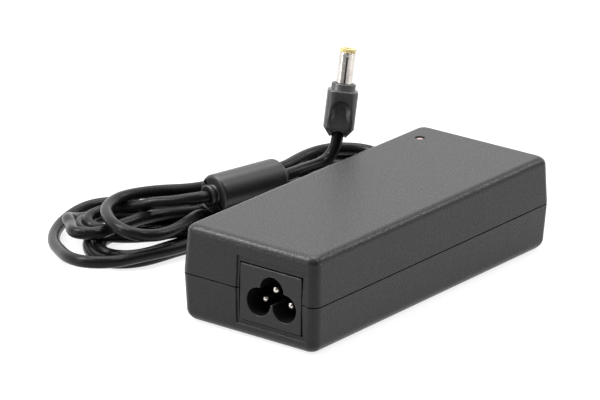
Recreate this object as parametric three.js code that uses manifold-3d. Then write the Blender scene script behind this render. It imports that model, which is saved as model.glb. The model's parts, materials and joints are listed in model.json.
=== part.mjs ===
// Laptop power adapter: a welded two-shell case with a three-pole mains inlet, the converter inside the case, and
// a low-voltage lead wound into a tied hank, with its interference choke and its barrel plug.
//
// Units are millimetres. The origin is the middle of the case's underside. +Z is up, +Y runs along the case from
// the mains inlet to the lead, and the hank lies on the -X side.

import * as THREE from "three";
import { mergeVertices } from "three/addons/utils/BufferGeometryUtils.js";
import Module from "manifold-3d";

const wasm = await Module();
wasm.setup();

// ---------------------------------------------------------------- driving dimensions

const GAP = 0.3; // between two pieces that touch
const FAR = 200; // half-size of the blocks that trim a solid along a plane

const CASE = {
  length: 126.4,
  width: 52,
  height: 31.5,
  seam: 15.75, // height of the weld line
  wall: 2.2,
  draft: 0.8, // how far a wall leans in between the seam and the top or the underside
  corner: 3.5,
  topRound: 2,
  bottomRound: 3.5,
};
const FRONT = -CASE.length / 2;
const BACK = CASE.length / 2;

const LIP = { thickness: 1, below: 2.4, above: 1.6 };

const INLET = {
  x: 8.8, // the earth pin's place across the case
  z: 12.9, // height of the live pins
  width: 23.5,
  height: 18.4,
  middleX: 8.4,
  middleZ: 14.9,
  face: FRONT + 0.6,
  depth: 18,
  plate: 2, // thickness of the plate round the cavity
  inset: 0.8, // how far the housing behind the plate stands in
  pinSpacing: 9.8,
  earthRise: 4.45,
  lobe: 4.5,
  cavity: 14,
};
const FRAME = { left: -4.5, right: 21.9, bottom: 4.3, top: 26.3, depth: 0.4 }; // the shallow step round the inlet
// The tips of the pins lie behind the inlet's face.
const PIN = { radius: 1.2, liveTip: 2.9, earthTip: 1.6, tail: 3.4, tailHalfWidth: 0.8, tailHalfThickness: 0.3 };

const LAMP = { x: -17.3, y: 50.4, radius: 1.4, hole: 1.7, sunk: 0.3, flange: 2.4, flangeThickness: 1.2 };
const DIODE = { radius: 1.5, rim: 1.9, rimThickness: 1, length: 5, legOffset: 0.9, legHalf: 0.25 };

const LABEL = { width: 36, length: 84, thickness: 0.25, lift: 0.05, recess: 0.6 };

const RELIEF = { length: 20, wallRadius: 4.6, endRadius: 3.2, flange: 5.6, collar: 6.2 };

const LEAD = 4; // diameter of the low-voltage lead
const HANK = { x: -66, y: 2, turn: THREE.MathUtils.degToRad(-12), lift: 0.1 };
const TIE = { from: 0.5, to: 10, left: -17.2, right: 15.4, top: 9.4, round: 3, thickness: 0.8 };
const CHOKE = {
  radius: 6.5,
  length: 27,
  wall: 1,
  across: 5.6,
  start: -3,
  height: 16.2,
  bossRadius: 3.6,
  boss: 2.5,
  slotWidth: 1,
  coreBore: 2.6,
};

const PLUG = {
  boot: 1.2, // short ring where the lead goes in
  chamfer: 2.2,
  body: 12.2,
  collar: 2.3,
  bootRadius: 2.4,
  neckRadius: 3.2,
  width: 10.2,
  depth: 9.4,
  round: 3,
  collarRadius: 4.05,
  barrelRadius: 2.75,
  barrelBore: 2.4,
  barrelOut: 11,
  contactRadius: 1.05,
  contactBore: 0.85,
  tip: 0.6,
  slot: 0.6,
  hole: 0.45,
  axis: [-0.012, 0.19, 1], // it stands up on the end of its lead
  spin: THREE.MathUtils.degToRad(37),
  offLead: 0.5, // between the lead's end and the plug's
};
const PLUG_LENGTH = PLUG.boot + PLUG.chamfer + PLUG.body + PLUG.collar;

const RIB = { halfLength: 17, halfThickness: 0.8, places: [-34, -8, 20, 48] }; // under the shield
const BOARD = { halfWidth: 20.8, from: -41.5, to: 57, bottom: 6.4, thickness: 1.6 };
const BOARD_TOP = BOARD.bottom + BOARD.thickness + GAP; // where a component stands
const SHEET = { thickness: 0.5, padX: 16, padHalf: 2, padFromEnd: 6 }; // the insulation under the board
const FUSE = { x: -17, from: -38, length: 12, radius: 2.2, height: 3, capRadius: 2.6, capLength: 5, overhang: 3 };
const DISC = { radius: 4.2, thickness: 3.4 };
const BRIDGE = { halfThickness: 2, halfWidth: 8, lift: 1, top: 13 };
const HEAT_SINK = { half: 0.9, fold: 8, lift: 2, top: 18, sheet: 1.5, footHalf: 1.5, footFromEnd: 3 };
const PACKAGE = { halfThickness: 2.2, halfWidth: 5, bottom: 3, top: 12, tab: 1.3, tabTop: 15.6, legPitch: 2.5 };
const SHIELD = { halfWidth: 21.5, from: -42, to: 57.5, bottom: 3, top: 25, sheet: 0.4 };

// The lead's way from the strain relief, round the back of the case and along its side into the hank.
const FROM_CASE = [
  [0, 83.6, 15.75],
  [0, 87, 15.75],
  [-1.4, 91.6, 15.2],
  [-6, 97, 13],
  [-13, 100, 9.4],
  [-22, 98, 5.2],
  [-29, 90.5, 2.8],
  [-32, 80.5, 2.2],
  [-33, 68, 2.1],
  [-33, 54, 2.1],
  [-34.6, 41, 2.1],
  [-38, 29, 2.1],
];

// The lead's way out of the hank, through the choke and up into the plug, in the hank's own frame: across towards
// the case, along, height.
const TO_PLUG = [
  [-5.4, -18.9, 13.6],
  [-0.6, -15.4, 14.7],
  [2.8, -11.9, 15.6],
  [4.9, -8.8, 16.1],
  [5.6, -6.4, 16.2],
  [5.6, -5, 16.2],
  [5.6, 24, 16.2],
  [5.6, 27, 16.2],
  [5.3, 31.5, 16.2],
  [4.4, 37, 16.1],
  [3.6, 42, 15.9],
  [3.3, 46, 16.2],
  [3.4, 49.2, 17.9],
  [3.7, 50.9, 20.6],
  [3.9, 51.6, 23.6],
];

// The hank's outer shape, in the hank's own frame. Each slab of loops has a height and an outline seen from above.
const HANK_LOOPS = [
  {
    top: 8.3, // the widest loops, and the waist
    outline: [
      [14.6, -4],
      [14.9, -10],
      [16.2, -26],
      [16, -42],
      [13.8, -52],
      [9, -57.8],
      [1, -59],
      [-9.8, -55.2],
      [-20, -50],
      [-28.8, -42.2],
      [-35.2, -32.3],
      [-37.7, -21.6],
      [-34.9, -11.8],
      [-27.2, -3.8],
      [-18.4, 2],
      [-17, 10],
      [-20, 22],
      [-24, 46],
      [-22.4, 61],
      [-16, 72.2],
      [-5, 77.6],
      [6.4, 75.2],
      [14.8, 66.6],
      [19.3, 55],
      [19.8, 44],
      [19.4, 36],
      [18.6, 30],
      [21.6, 24.5],
      [20.4, 18],
      [17.4, 11],
      [15.4, 4],
    ],
  },
  {
    top: 12.1, // the smaller loops that lie on them, near end
    outline: [
      [4.8, -3],
      [9.4, -14],
      [15.4, -29],
      [15.6, -37],
      [11, -42.6],
      [1, -46],
      [-3, -50],
      [-8, -51],
      [-16.8, -44],
      [-26.4, -31],
      [-26.6, -17],
      [-20.6, -5.4],
      [-13, -3],
    ],
  },
  {
    top: 16, // the uppermost loop, near end
    outline: [
      [8.6, -20],
      [15.6, -33],
      [12.6, -42],
      [5, -44],
      [-3.8, -41.2],
      [-10.6, -36.6],
      [-16.6, -28],
      [-17.8, -16],
      [-15, -9],
    ],
  },
  {
    top: 12.7, // the uppermost loop, far end
    outline: [
      [-5, 14],
      [3, 32],
      [7.6, 44],
      [9.2, 57],
      [7.6, 68.4],
      [1.4, 76.2],
      [-6.6, 78],
      [-14.2, 74],
      [-18.4, 66.6],
      [-18.9, 58.6],
      [-14.6, 43],
      [-13.6, 24],
      [-13.8, 14],
    ],
  },
];
// How high the hank stands from its near end to its far end: [along, height] pairs.
const HANK_SLOPE = [
  [-70, 0],
  [90, 0],
  [90, 12.7],
  [44, 12.7],
  [24, 9.1],
  [-14, 9.1],
  [-30, 16],
  [-44, 16],
  [-56, 8.3],
  [-70, 8.3],
];

const LOOK = {
  case: { color: 0x37373a, roughness: 0.62, metalness: 0 },
  inlet: { color: 0x2b2b2d, roughness: 0.6, metalness: 0 },
  rubber: { color: 0x222224, roughness: 0.55, metalness: 0 },
  nickel: { color: 0xd8d2cc, roughness: 0.22, metalness: 1 },
  steel: { color: 0xb9bcc0, roughness: 0.4, metalness: 1 },
  aluminium: { color: 0xbfc2c6, roughness: 0.45, metalness: 1 },
  lens: { color: 0xc8b2aa, roughness: 0.25, metalness: 0 },
  label: { color: 0xb8babd, roughness: 0.5, metalness: 0 },
  tape: { color: 0x1c1c1e, roughness: 0.9, metalness: 0 },
  tip: { color: 0xf2d683, roughness: 0.4, metalness: 0 },
  ferrite: { color: 0x3f4043, roughness: 0.7, metalness: 0 },
  board: { color: 0x2f6b3c, roughness: 0.5, metalness: 0 },
  copper: { color: 0xb26b39, roughness: 0.35, metalness: 0.9 },
  sleeve: { color: 0x1d2a4a, roughness: 0.4, metalness: 0 },
  yellow: { color: 0xd9b640, roughness: 0.5, metalness: 0 },
  ceramic: { color: 0x3e6fae, roughness: 0.5, metalness: 0 },
  epoxy: { color: 0x202022, roughness: 0.5, metalness: 0 },
  glass: { color: 0xd9d2c2, roughness: 0.15, metalness: 0 },
  film: { color: 0xe4e2d8, roughness: 0.6, metalness: 0 },
  redWire: { color: 0xa02622, roughness: 0.5, metalness: 0 },
  blackWire: { color: 0x1b1b1c, roughness: 0.5, metalness: 0 },
};

// ---------------------------------------------------------------- solids

/** A geometry as a manifold-3d solid. */
function solid(geometry) {
  const bare = new THREE.BufferGeometry();
  bare.setAttribute("position", geometry.getAttribute("position").clone());
  bare.setIndex(geometry.index ? geometry.index.clone() : null);
  const merged = mergeVertices(bare, 1e-4);
  const mesh = new wasm.Mesh({
    numProp: 3,
    vertProperties: new Float32Array(merged.getAttribute("position").array),
    triVerts: new Uint32Array(merged.index.array),
  });
  return new wasm.Manifold(mesh);
}

/** A manifold-3d solid as a geometry. */
function geometryOf(shape) {
  const mesh = shape.getMesh();
  const geometry = new THREE.BufferGeometry();
  geometry.setAttribute("position", new THREE.BufferAttribute(new Float32Array(mesh.vertProperties), 3));
  geometry.setIndex(new THREE.BufferAttribute(new Uint32Array(mesh.triVerts), 1));
  return geometry;
}

function cut(base, ...tools) {
  return tools.reduce((left, tool) => left.subtract(tool), base);
}

function join(first, ...others) {
  return others.reduce((sum, other) => sum.add(other), first);
}

/** A box between two corners. */
function block(low, high) {
  const size = high.map((value, axis) => value - low[axis]);
  const middle = high.map((value, axis) => (value + low[axis]) / 2);
  return solid(new THREE.BoxGeometry(...size).translate(...middle));
}

/** A cylinder from one point along an axis: "x", "y" or "z". */
function rod(radius, length, [x, y, z], axis = "z", sides = 24) {
  const geometry = new THREE.CylinderGeometry(radius, radius, length, sides).translate(0, length / 2, 0);
  if (axis === "z") geometry.rotateX(Math.PI / 2);
  if (axis === "x") geometry.rotateZ(-Math.PI / 2);
  return solid(geometry.translate(x, y, z));
}

/** A solid of revolution about +Z from [radius, height] pairs. */
function turned(profile, sides = 32) {
  const points = profile.map(([radius, height]) => new THREE.Vector2(radius, height));
  return solid(new THREE.LatheGeometry(points, sides).rotateX(Math.PI / 2));
}

/** A tube of the lead's kind along hand-chosen points. */
function tube(points, radius, steps, sides = 10) {
  const curve = new THREE.CatmullRomCurve3(points.map((p) => new THREE.Vector3(...p)), false, "centripetal");
  const section = new THREE.Shape();
  section.absarc(0, 0, radius, 0, 2 * Math.PI);
  return new THREE.ExtrudeGeometry(section, { steps, curveSegments: sides, extrudePath: curve });
}

/** The corners of a rounded rectangle, anticlockwise, as [x, y] pairs. */
function roundedRectangle(halfWidth, halfLength, radius, steps = 5) {
  const centres = [
    [halfWidth - radius, halfLength - radius],
    [radius - halfWidth, halfLength - radius],
    [radius - halfWidth, radius - halfLength],
    [halfWidth - radius, radius - halfLength],
  ];
  return centres.flatMap(([x, y], quarter) =>
    Array.from({ length: steps + 1 }, (_, step) => {
      const angle = ((quarter + step / steps) * Math.PI) / 2;
      return [x + radius * Math.cos(angle), y + radius * Math.sin(angle)];
    }),
  );
}

/** A solid through a stack of outlines with equally many points, each { z, outline }, from the lowest up. */
function stacked(levels) {
  const count = levels[0].outline.length;
  const positions = levels.flatMap(({ z, outline }) => outline.flatMap(([x, y]) => [x, y, z]));
  const index = [];
  for (let level = 0; level + 1 < levels.length; level += 1) {
    for (let i = 0; i < count; i += 1) {
      const a = level * count + i;
      const b = level * count + ((i + 1) % count);
      index.push(a, b, b + count, a, b + count, a + count);
    }
  }
  const top = (levels.length - 1) * count;
  for (let i = 1; i + 1 < count; i += 1) {
    index.push(0, i + 1, i);
    index.push(top, top + i, top + i + 1);
  }
  const geometry = new THREE.BufferGeometry();
  geometry.setAttribute("position", new THREE.Float32BufferAttribute(positions, 3));
  geometry.setIndex(index);
  return solid(geometry);
}

// ---------------------------------------------------------------- the assembly

const group = new THREE.Group();
const hank = new THREE.Group();
hank.position.set(HANK.x, HANK.y, 0);
hank.rotation.z = HANK.turn;
group.add(hank);

/** Adds a named piece, made of a solid or a geometry. */
function piece(name, shape, look, parent = group) {
  const geometry = shape.isBufferGeometry ? shape : geometryOf(shape);
  const mesh = new THREE.Mesh(geometry, new THREE.MeshStandardMaterial(look));
  mesh.name = name;
  parent.add(mesh);
  return mesh;
}

// ---------------------------------------------------------------- case

/** How far the case's wall leans in at a height. */
function lean(z) {
  return (CASE.draft * Math.abs(z - CASE.seam)) / (CASE.height / 2);
}

/** The case's outline at a height, moved in by an inset. */
function caseLevel(z, inset, roundInset = 0) {
  const move = inset + roundInset + lean(z);
  const radius = Math.max(CASE.corner - inset - roundInset / 2, 0.8);
  return { z, outline: roundedRectangle(CASE.width / 2 - move, CASE.length / 2 - move, radius) };
}

/** The whole case's body, moved in by an inset on all sides. */
function caseBody(inset) {
  const arc = [0, 22.5, 45, 67.5, 90].map(THREE.MathUtils.degToRad);
  const low = Math.max(CASE.bottomRound - inset, 1);
  const high = Math.max(CASE.topRound - inset, 1);
  const bottom = arc.map((t) => caseLevel(inset + low * (1 - Math.cos(t)), inset, low * (1 - Math.sin(t))));
  const top = arc.map((t) =>
    caseLevel(CASE.height - inset - high * (1 - Math.cos(t)), inset, high * (1 - Math.sin(t))),
  );
  return stacked([...bottom, caseLevel(CASE.seam, inset), ...top.reverse()]);
}

/** A ring that follows the case's inside between two insets and two heights. */
function caseRing(outer, inner, from, to) {
  const wall = (inset) => stacked([caseLevel(from, inset), caseLevel(to, inset)]);
  return cut(wall(outer), stacked([caseLevel(from - 1, inner), caseLevel(to + 1, inner)]));
}

/** The opening for the inlet in the front wall, and the shallow step round it, which follows the wall's lean. */
function inletOpening() {
  const { middleX, middleZ, width, height, face, depth } = INLET;
  const through = block(
    [middleX - width / 2 - GAP, FRONT - 5, middleZ - height / 2 - GAP],
    [middleX + width / 2 + GAP, face + depth + GAP, middleZ + height / 2 + GAP],
  );
  const step = block([FRAME.left, FRONT - 5, FRAME.bottom], [FRAME.right, FRONT + 2, FRAME.top]);
  return join(through, cut(step, caseBody(FRAME.depth)));
}

/** The hole in the back wall for the strain relief's groove, and the room behind it for the inner flange. */
function reliefHole() {
  const inside = BACK - CASE.wall;
  return join(
    rod(RELIEF.wallRadius + GAP, CASE.wall + 2, [0, inside - 1, CASE.seam], "y", 32),
    rod(RELIEF.flange + GAP, 5, [0, inside - 5, CASE.seam], "y", 32),
  );
}

function upperShell() {
  const above = block([-FAR, -FAR, CASE.seam + GAP / 2], [FAR, FAR, FAR]);
  const lampHole = rod(LAMP.hole, 10, [LAMP.x, LAMP.y, CASE.height - 8]);
  const shell = cut(caseBody(0), caseBody(CASE.wall)).intersect(above);
  return cut(shell, inletOpening(), reliefHole(), lampHole);
}

/** Four low ribs that carry the shield, along the floor of the lower shell. */
function floorRibs() {
  const { halfLength, halfThickness, places } = RIB;
  const ribs = places.map((y) =>
    block([-halfLength, y - halfThickness, CASE.wall - 0.4], [halfLength, y + halfThickness, SHIELD.bottom - GAP]),
  );
  return join(...ribs);
}

function lowerShell() {
  const below = block([-FAR, -FAR, -FAR], [FAR, FAR, CASE.seam - GAP / 2]);
  const shell = cut(caseBody(0), caseBody(CASE.wall)).intersect(below);
  const inner = CASE.wall + GAP + LIP.thickness;
  const ledge = caseRing(CASE.wall - 0.2, inner, CASE.seam - LIP.below, CASE.seam - GAP / 2);
  const lip = caseRing(CASE.wall + GAP, inner, CASE.seam - 1, CASE.seam + LIP.above);
  const labelRecess = block(
    [-LABEL.width / 2 - GAP, -LABEL.length / 2 - GAP, -1],
    [LABEL.width / 2 + GAP, LABEL.length / 2 + GAP, LABEL.recess],
  );
  return cut(join(shell, ledge, lip, floorRibs()), inletOpening(), reliefHole(), labelRecess);
}

function ratingLabel() {
  const outline = (z) => ({ z, outline: roundedRectangle(LABEL.width / 2, LABEL.length / 2, 2) });
  return stacked([outline(LABEL.lift), outline(LABEL.lift + LABEL.thickness)]);
}

/** The clear lens in the lid: a short light pipe with a flange under the lid. */
function lampLens() {
  const top = CASE.height - LAMP.sunk;
  const under = CASE.height - CASE.wall - GAP;
  const lens = turned([
    [0, under - LAMP.flangeThickness],
    [LAMP.flange, under - LAMP.flangeThickness],
    [LAMP.flange, under],
    [LAMP.radius, under],
    [LAMP.radius, top - 0.2],
    [LAMP.radius - 0.3, top],
    [0, top],
  ]);
  return lens.translate([LAMP.x, LAMP.y, 0]);
}

/** The lamp under the lens, on two legs that reach down to the board. */
function lamp() {
  const { radius, rim, rimThickness, length, legOffset, legHalf } = DIODE;
  const top = CASE.height - CASE.wall - LAMP.flangeThickness - 2 * GAP;
  const bottom = top - length;
  const body = turned([
    [0, bottom],
    [rim, bottom],
    [rim, bottom + rimThickness],
    [radius, bottom + rimThickness],
    [radius, top - 1.2],
    [0.6 * radius, top - 0.2],
    [0, top],
  ]).translate([LAMP.x, LAMP.y, 0]);
  const legs = [-legOffset, legOffset].map((x) =>
    block(
      [LAMP.x + x - legHalf, LAMP.y - legHalf, BOARD_TOP],
      [LAMP.x + x + legHalf, LAMP.y + legHalf, bottom + rimThickness / 2],
    ),
  );
  return join(body, ...legs);
}

// ---------------------------------------------------------------- mains inlet

const PIN_PLACES = {
  inlet_pin_line: [INLET.x - INLET.pinSpacing / 2, INLET.z, PIN.liveTip],
  inlet_pin_neutral: [INLET.x + INLET.pinSpacing / 2, INLET.z, PIN.liveTip],
  inlet_pin_earth: [INLET.x, INLET.z + INLET.earthRise, PIN.earthTip],
};

/** The inlet's body, with three lobes that take the mains connector and a bore for each pin. */
function inletBody() {
  const { middleX, middleZ, width, height, face, depth, plate, inset, cavity, lobe } = INLET;
  const part = (margin, from, to) =>
    block(
      [middleX - width / 2 + margin, from, middleZ - height / 2 + margin],
      [middleX + width / 2 - margin, to, middleZ + height / 2 - margin],
    );
  const flange = part(0, face, face + plate);
  const body = part(inset, face + plate / 2, face + depth);
  const lobes = Object.values(PIN_PLACES).map(([x, z]) => rod(lobe, cavity + 1, [x, face - 1, z], "y", 28));
  const bores = Object.values(PIN_PLACES).map(([x, z]) =>
    rod(PIN.radius + GAP, depth, [x, face + cavity - 1, z], "y", 16),
  );
  return cut(join(flange, body), ...lobes, ...bores);
}

/** A round pin with a domed tip at the front and a flat solder tail behind. */
function inletPin([x, z, tip]) {
  const front = INLET.face + tip;
  const back = INLET.face + INLET.depth + 1;
  const shaft = turned(
    [
      [0, 0],
      [PIN.radius, 0],
      [PIN.radius, back - front - 0.8],
      [PIN.radius * 0.8, back - front - 0.25],
      [PIN.radius * 0.4, back - front],
      [0, back - front],
    ],
    20,
  );
  const laid = shaft.rotate([90, 0, 0]).translate([x, back, z]);
  const { tailHalfWidth, tailHalfThickness } = PIN;
  const tail = block(
    [x - tailHalfWidth, back - 0.5, z - tailHalfThickness],
    [x + tailHalfWidth, back + PIN.tail, z + tailHalfThickness],
  );
  return join(laid, tail);
}

// ---------------------------------------------------------------- converter

/** A round capacitor in its sleeve. */
function canCapacitor(radius, length, place, axis) {
  return rod(radius, length, place, axis, 28);
}

/** A ring core standing on edge or lying flat, with its winding. */
function woundRing(outer, inner, height, [x, y, z]) {
  const bevel = 1.2;
  return turned(
    [
      [inner, bevel],
      [inner + bevel, 0],
      [outer - bevel, 0],
      [outer, bevel],
      [outer, height - bevel],
      [outer - bevel, height],
      [inner + bevel, height],
      [inner, height - bevel],
      [inner, bevel],
    ],
    28,
  ).translate([x, y, z]);
}

/** A power package against its heat sink: body and metal tab. */
function powerPackage([x, y], side) {
  const { halfThickness, halfWidth, bottom, top, tab, tabTop, legPitch } = PACKAGE;
  const body = block(
    [x - halfThickness, y - halfWidth, BOARD_TOP + bottom],
    [x + halfThickness, y + halfWidth, BOARD_TOP + top],
  );
  const tabFrom = side < 0 ? x - halfThickness : x + halfThickness - tab;
  const back = block(
    [tabFrom, y - halfWidth, BOARD_TOP + top - 1],
    [tabFrom + tab, y + halfWidth, BOARD_TOP + tabTop],
  );
  const legs = [-legPitch, 0, legPitch].map((offset) =>
    block([x - 0.3, y + offset - 0.4, BOARD_TOP], [x + 0.3, y + offset + 0.4, BOARD_TOP + bottom + 1]),
  );
  return join(body, back, ...legs);
}

/** A sheet-metal heat sink: an upright with a folded top and two feet. */
function heatSink(x, from, to, fold) {
  const { half, lift, top, sheet, footHalf, footFromEnd } = HEAT_SINK;
  const upright = block([x - half, from, BOARD_TOP + lift], [x + half, to, BOARD_TOP + top - sheet / 2]);
  const [left, right] = fold > 0 ? [x - half, x + HEAT_SINK.fold] : [x - HEAT_SINK.fold, x + half];
  const folded = block([left, from, BOARD_TOP + top - sheet], [right, to, BOARD_TOP + top]);
  const feet = [from + footFromEnd, to - footFromEnd].map((y) =>
    block([x - half, y - footHalf, BOARD_TOP], [x + half, y + footHalf, BOARD_TOP + lift + 1]),
  );
  return join(upright, folded, ...feet);
}

const TRANSFORMER = {
  x: 1,
  y: 20,
  z: BOARD_TOP + 9,
  halfX: 13,
  halfY: 11,
  halfZ: 6,
  leg: 4, // half-width of the middle leg
  window: 9.8,
  windowY: 7,
  windingHalfZ: 8.6,
};

/** The transformer's core: two outer legs and a middle leg, closed at both ends. */
function transformerCore() {
  const { x, y, z, halfX, halfY, halfZ, leg, window, windowY } = TRANSFORMER;
  const whole = block([x - halfX, y - halfY, z - halfZ], [x + halfX, y + halfY, z + halfZ]);
  const windows = [-1, 1].map((side) => {
    const [a, b] = [x + side * leg, x + side * window].sort((p, q) => p - q);
    return block([a, y - windowY, z - halfZ - 1], [b, y + windowY, z + halfZ + 1]);
  });
  return cut(whole, ...windows);
}

/** The bobbin and winding round the middle leg. */
function transformerWinding() {
  const { x, y, z, halfZ, leg, window, windowY, windingHalfZ } = TRANSFORMER;
  const outline = roundedRectangle(window - GAP, windingHalfZ, 1.6, 3);
  const half = windowY - GAP;
  const upright = stacked([
    { z: -half, outline },
    { z: half, outline },
  ]);
  const around = upright.rotate([90, 0, 0]).translate([x, y, z]);
  const middle = block(
    [x - leg - GAP, y - windowY - 1, z - halfZ - GAP],
    [x + leg + GAP, y + windowY + 1, z + halfZ + GAP],
  );
  return cut(around, middle);
}

/** The metal shield: a tray of thin sheet round the underside and the long sides of the board. */
function shieldTray() {
  const { halfWidth, from, to, bottom, top, sheet } = SHIELD;
  const outer = block([-halfWidth - sheet, from, bottom], [halfWidth + sheet, to, top]);
  return cut(outer, block([-halfWidth, from - 1, bottom + sheet], [halfWidth, to + 1, top + 1]));
}

/** The insulating sheet in the tray, with four pads that the board stands on. */
function insulatingSheet() {
  const low = SHIELD.bottom + SHIELD.sheet + GAP;
  const { thickness, padX, padHalf, padFromEnd } = SHEET;
  const sheet = block([-BOARD.halfWidth, BOARD.from, low], [BOARD.halfWidth, BOARD.to, low + thickness]);
  const pads = [-padX, padX].flatMap((x) =>
    [BOARD.from + padFromEnd, BOARD.to - padFromEnd].map((y) =>
      block([x - padHalf, y - padHalf, low + thickness / 2], [x + padHalf, y + padHalf, BOARD.bottom - GAP]),
    ),
  );
  return join(sheet, ...pads);
}

function mainBoard() {
  const { halfWidth, from, to, bottom, thickness } = BOARD;
  return block([-halfWidth, from, bottom], [halfWidth, to, bottom + thickness]);
}

function fuse() {
  const { x, from, length, radius, height, capRadius, capLength, overhang } = FUSE;
  const z = BOARD_TOP + height;
  const glass = rod(radius, length, [x, from, z], "y", 20);
  const caps = [from - overhang, from + length + overhang - capLength].map((y) =>
    rod(capRadius, capLength, [x, y, z], "y", 20),
  );
  return join(glass, ...caps);
}

/** The disc-shaped safety capacitor, standing on its edge. */
function discCapacitor([x, y]) {
  const { radius, thickness } = DISC;
  return rod(radius, thickness, [x - thickness / 2, y, BOARD_TOP + radius + 0.2], "x", 24);
}

function bridgeRectifier([x, y]) {
  const { halfThickness, halfWidth, lift, top } = BRIDGE;
  return block(
    [x - halfThickness, y - halfWidth, BOARD_TOP + lift],
    [x + halfThickness, y + halfWidth, BOARD_TOP + top],
  );
}

function outputWire(x) {
  const points = [
    [x, BACK - 8.4, CASE.seam],
    [x * 1.6, BACK - 10, 14.6],
    [x * 2.2, BACK - 11, 12],
    [x * 2.4, BACK - 11.4, BOARD_TOP],
  ];
  return tube(points, 0.8, 8, 8);
}

// ---------------------------------------------------------------- lead

/** The moulded strain relief: a flange inside the wall, a groove in it and a ribbed taper outside. */
function strainRelief() {
  const { length, wallRadius, endRadius, flange, collar } = RELIEF;
  const wallInside = -CASE.wall - GAP;
  const ribs = [4, 7.5, 11, 14.5].flatMap((at) => {
    const radius = THREE.MathUtils.lerp(wallRadius + 0.4, endRadius, at / length);
    return [
      [radius, at],
      [radius - 0.7, at + 0.4],
      [radius - 0.7, at + 1.4],
      [radius, at + 1.8],
    ];
  });
  const profile = [
    [0, wallInside - 3],
    [flange, wallInside - 3],
    [flange, wallInside],
    [wallRadius, wallInside],
    [wallRadius, GAP],
    [collar, GAP],
    [collar, 1.8],
    [wallRadius + 0.6, 2.4],
    ...ribs,
    [endRadius, length],
    [0, length],
  ];
  return turned(profile).rotate([-90, 0, 0]).translate([0, BACK, CASE.seam]);
}

/** An upright solid with rounded edges from a smooth closed outline, between two heights. */
function smoothSlab(points, low, high) {
  const bevel = 1.6;
  const outline = new THREE.Shape();
  outline.moveTo(...points.at(-1));
  outline.splineThru(points.map(([x, y]) => new THREE.Vector2(x, y)));
  const geometry = new THREE.ExtrudeGeometry(outline, {
    depth: high - low - 2 * bevel,
    curveSegments: 3,
    bevelThickness: bevel,
    bevelSize: bevel,
    bevelOffset: -bevel,
    bevelSegments: 2,
  });
  return solid(geometry.translate(0, 0, low + bevel));
}

/** The outer shape of the wound-up lead: loops that spread at both ends of a waist, which the tie goes round. */
function woundLead() {
  const slabs = HANK_LOOPS.map(({ top, outline }) => smoothSlab(outline, HANK.lift, top));
  const slope = new THREE.Shape(HANK_SLOPE.map(([y, z]) => new THREE.Vector2(y, z)));
  const slice = new THREE.ExtrudeGeometry(slope, { depth: 2 * FAR, bevelEnabled: false }).translate(0, 0, -FAR);
  // The slice is drawn along x and y, and stands up along y and z, with its depth across the hank.
  const side = solid(slice).rotate([90, 0, 90]);

  const { from, to } = TIE;
  const waist = block([-FAR, from - GAP, -FAR], [FAR, to + GAP, FAR]);
  const tied = cut(waist, tieBody(-GAP - TIE.thickness, 2));
  return cut(join(...slabs).intersect(side), tied);
}

/** The filled outline of the tie round the hank's waist, grown by a margin. */
function tieBody(margin, extra = 0) {
  const { from, to, left, right, top, round } = TIE;
  const halfWidth = (right - left) / 2 + margin;
  const halfHeight = top / 2 + margin;
  const outline = roundedRectangle(halfWidth, halfHeight, round + margin);
  const upright = stacked([
    { z: -extra, outline },
    { z: to - from + extra, outline },
  ]);
  return upright.rotate([90, 0, 0]).translate([(left + right) / 2, to, top / 2]);
}

function cableTie() {
  return cut(tieBody(0), tieBody(-TIE.thickness, 1));
}

/** The choke's moulded sleeve. Slots through its ends show the ferrite core that it was moulded round. */
function chokeSleeve() {
  const { radius, length, wall, bossRadius, boss, slotWidth } = CHOKE;
  const inside = radius - wall;
  const outer = turned([
    [0, -boss],
    [bossRadius, -boss],
    [bossRadius, -boss + 0.8],
    [bossRadius - 0.6, -boss + 1.4],
    [bossRadius - 0.6, 0],
    [radius - 0.6, 0],
    [radius, 0.6],
    [radius, length - 0.6],
    [radius - 0.6, length],
    [bossRadius - 0.6, length],
    [bossRadius - 0.6, length + boss - 1.4],
    [bossRadius, length + boss - 0.8],
    [bossRadius, length + boss],
    [0, length + boss],
  ]);
  const hollow = rod(inside, length - 2 * wall, [0, 0, wall], "z", 32);
  const bore = rod(LEAD / 2 + GAP, length + 2 * boss + 2, [0, 0, -boss - 1], "z", 20);
  const slots = [0, length].flatMap((end) =>
    [-1, 1].map((side) => {
      const [low, high] = [side * (bossRadius + 0.3), side * (inside - 0.2)].sort((a, b) => a - b);
      return block([low, -slotWidth / 2, end - 2], [high, slotWidth / 2, end + 2]);
    }),
  );
  return cut(outer, hollow, bore, ...slots);
}

function ferriteCore() {
  const outer = CHOKE.radius - CHOKE.wall - GAP;
  const low = CHOKE.wall + GAP;
  const high = CHOKE.length - CHOKE.wall - GAP;
  return turned([
    [CHOKE.coreBore, low],
    [outer, low],
    [outer, high],
    [CHOKE.coreBore, high],
    [CHOKE.coreBore, low],
  ]);
}

// ---------------------------------------------------------------- plug

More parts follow.
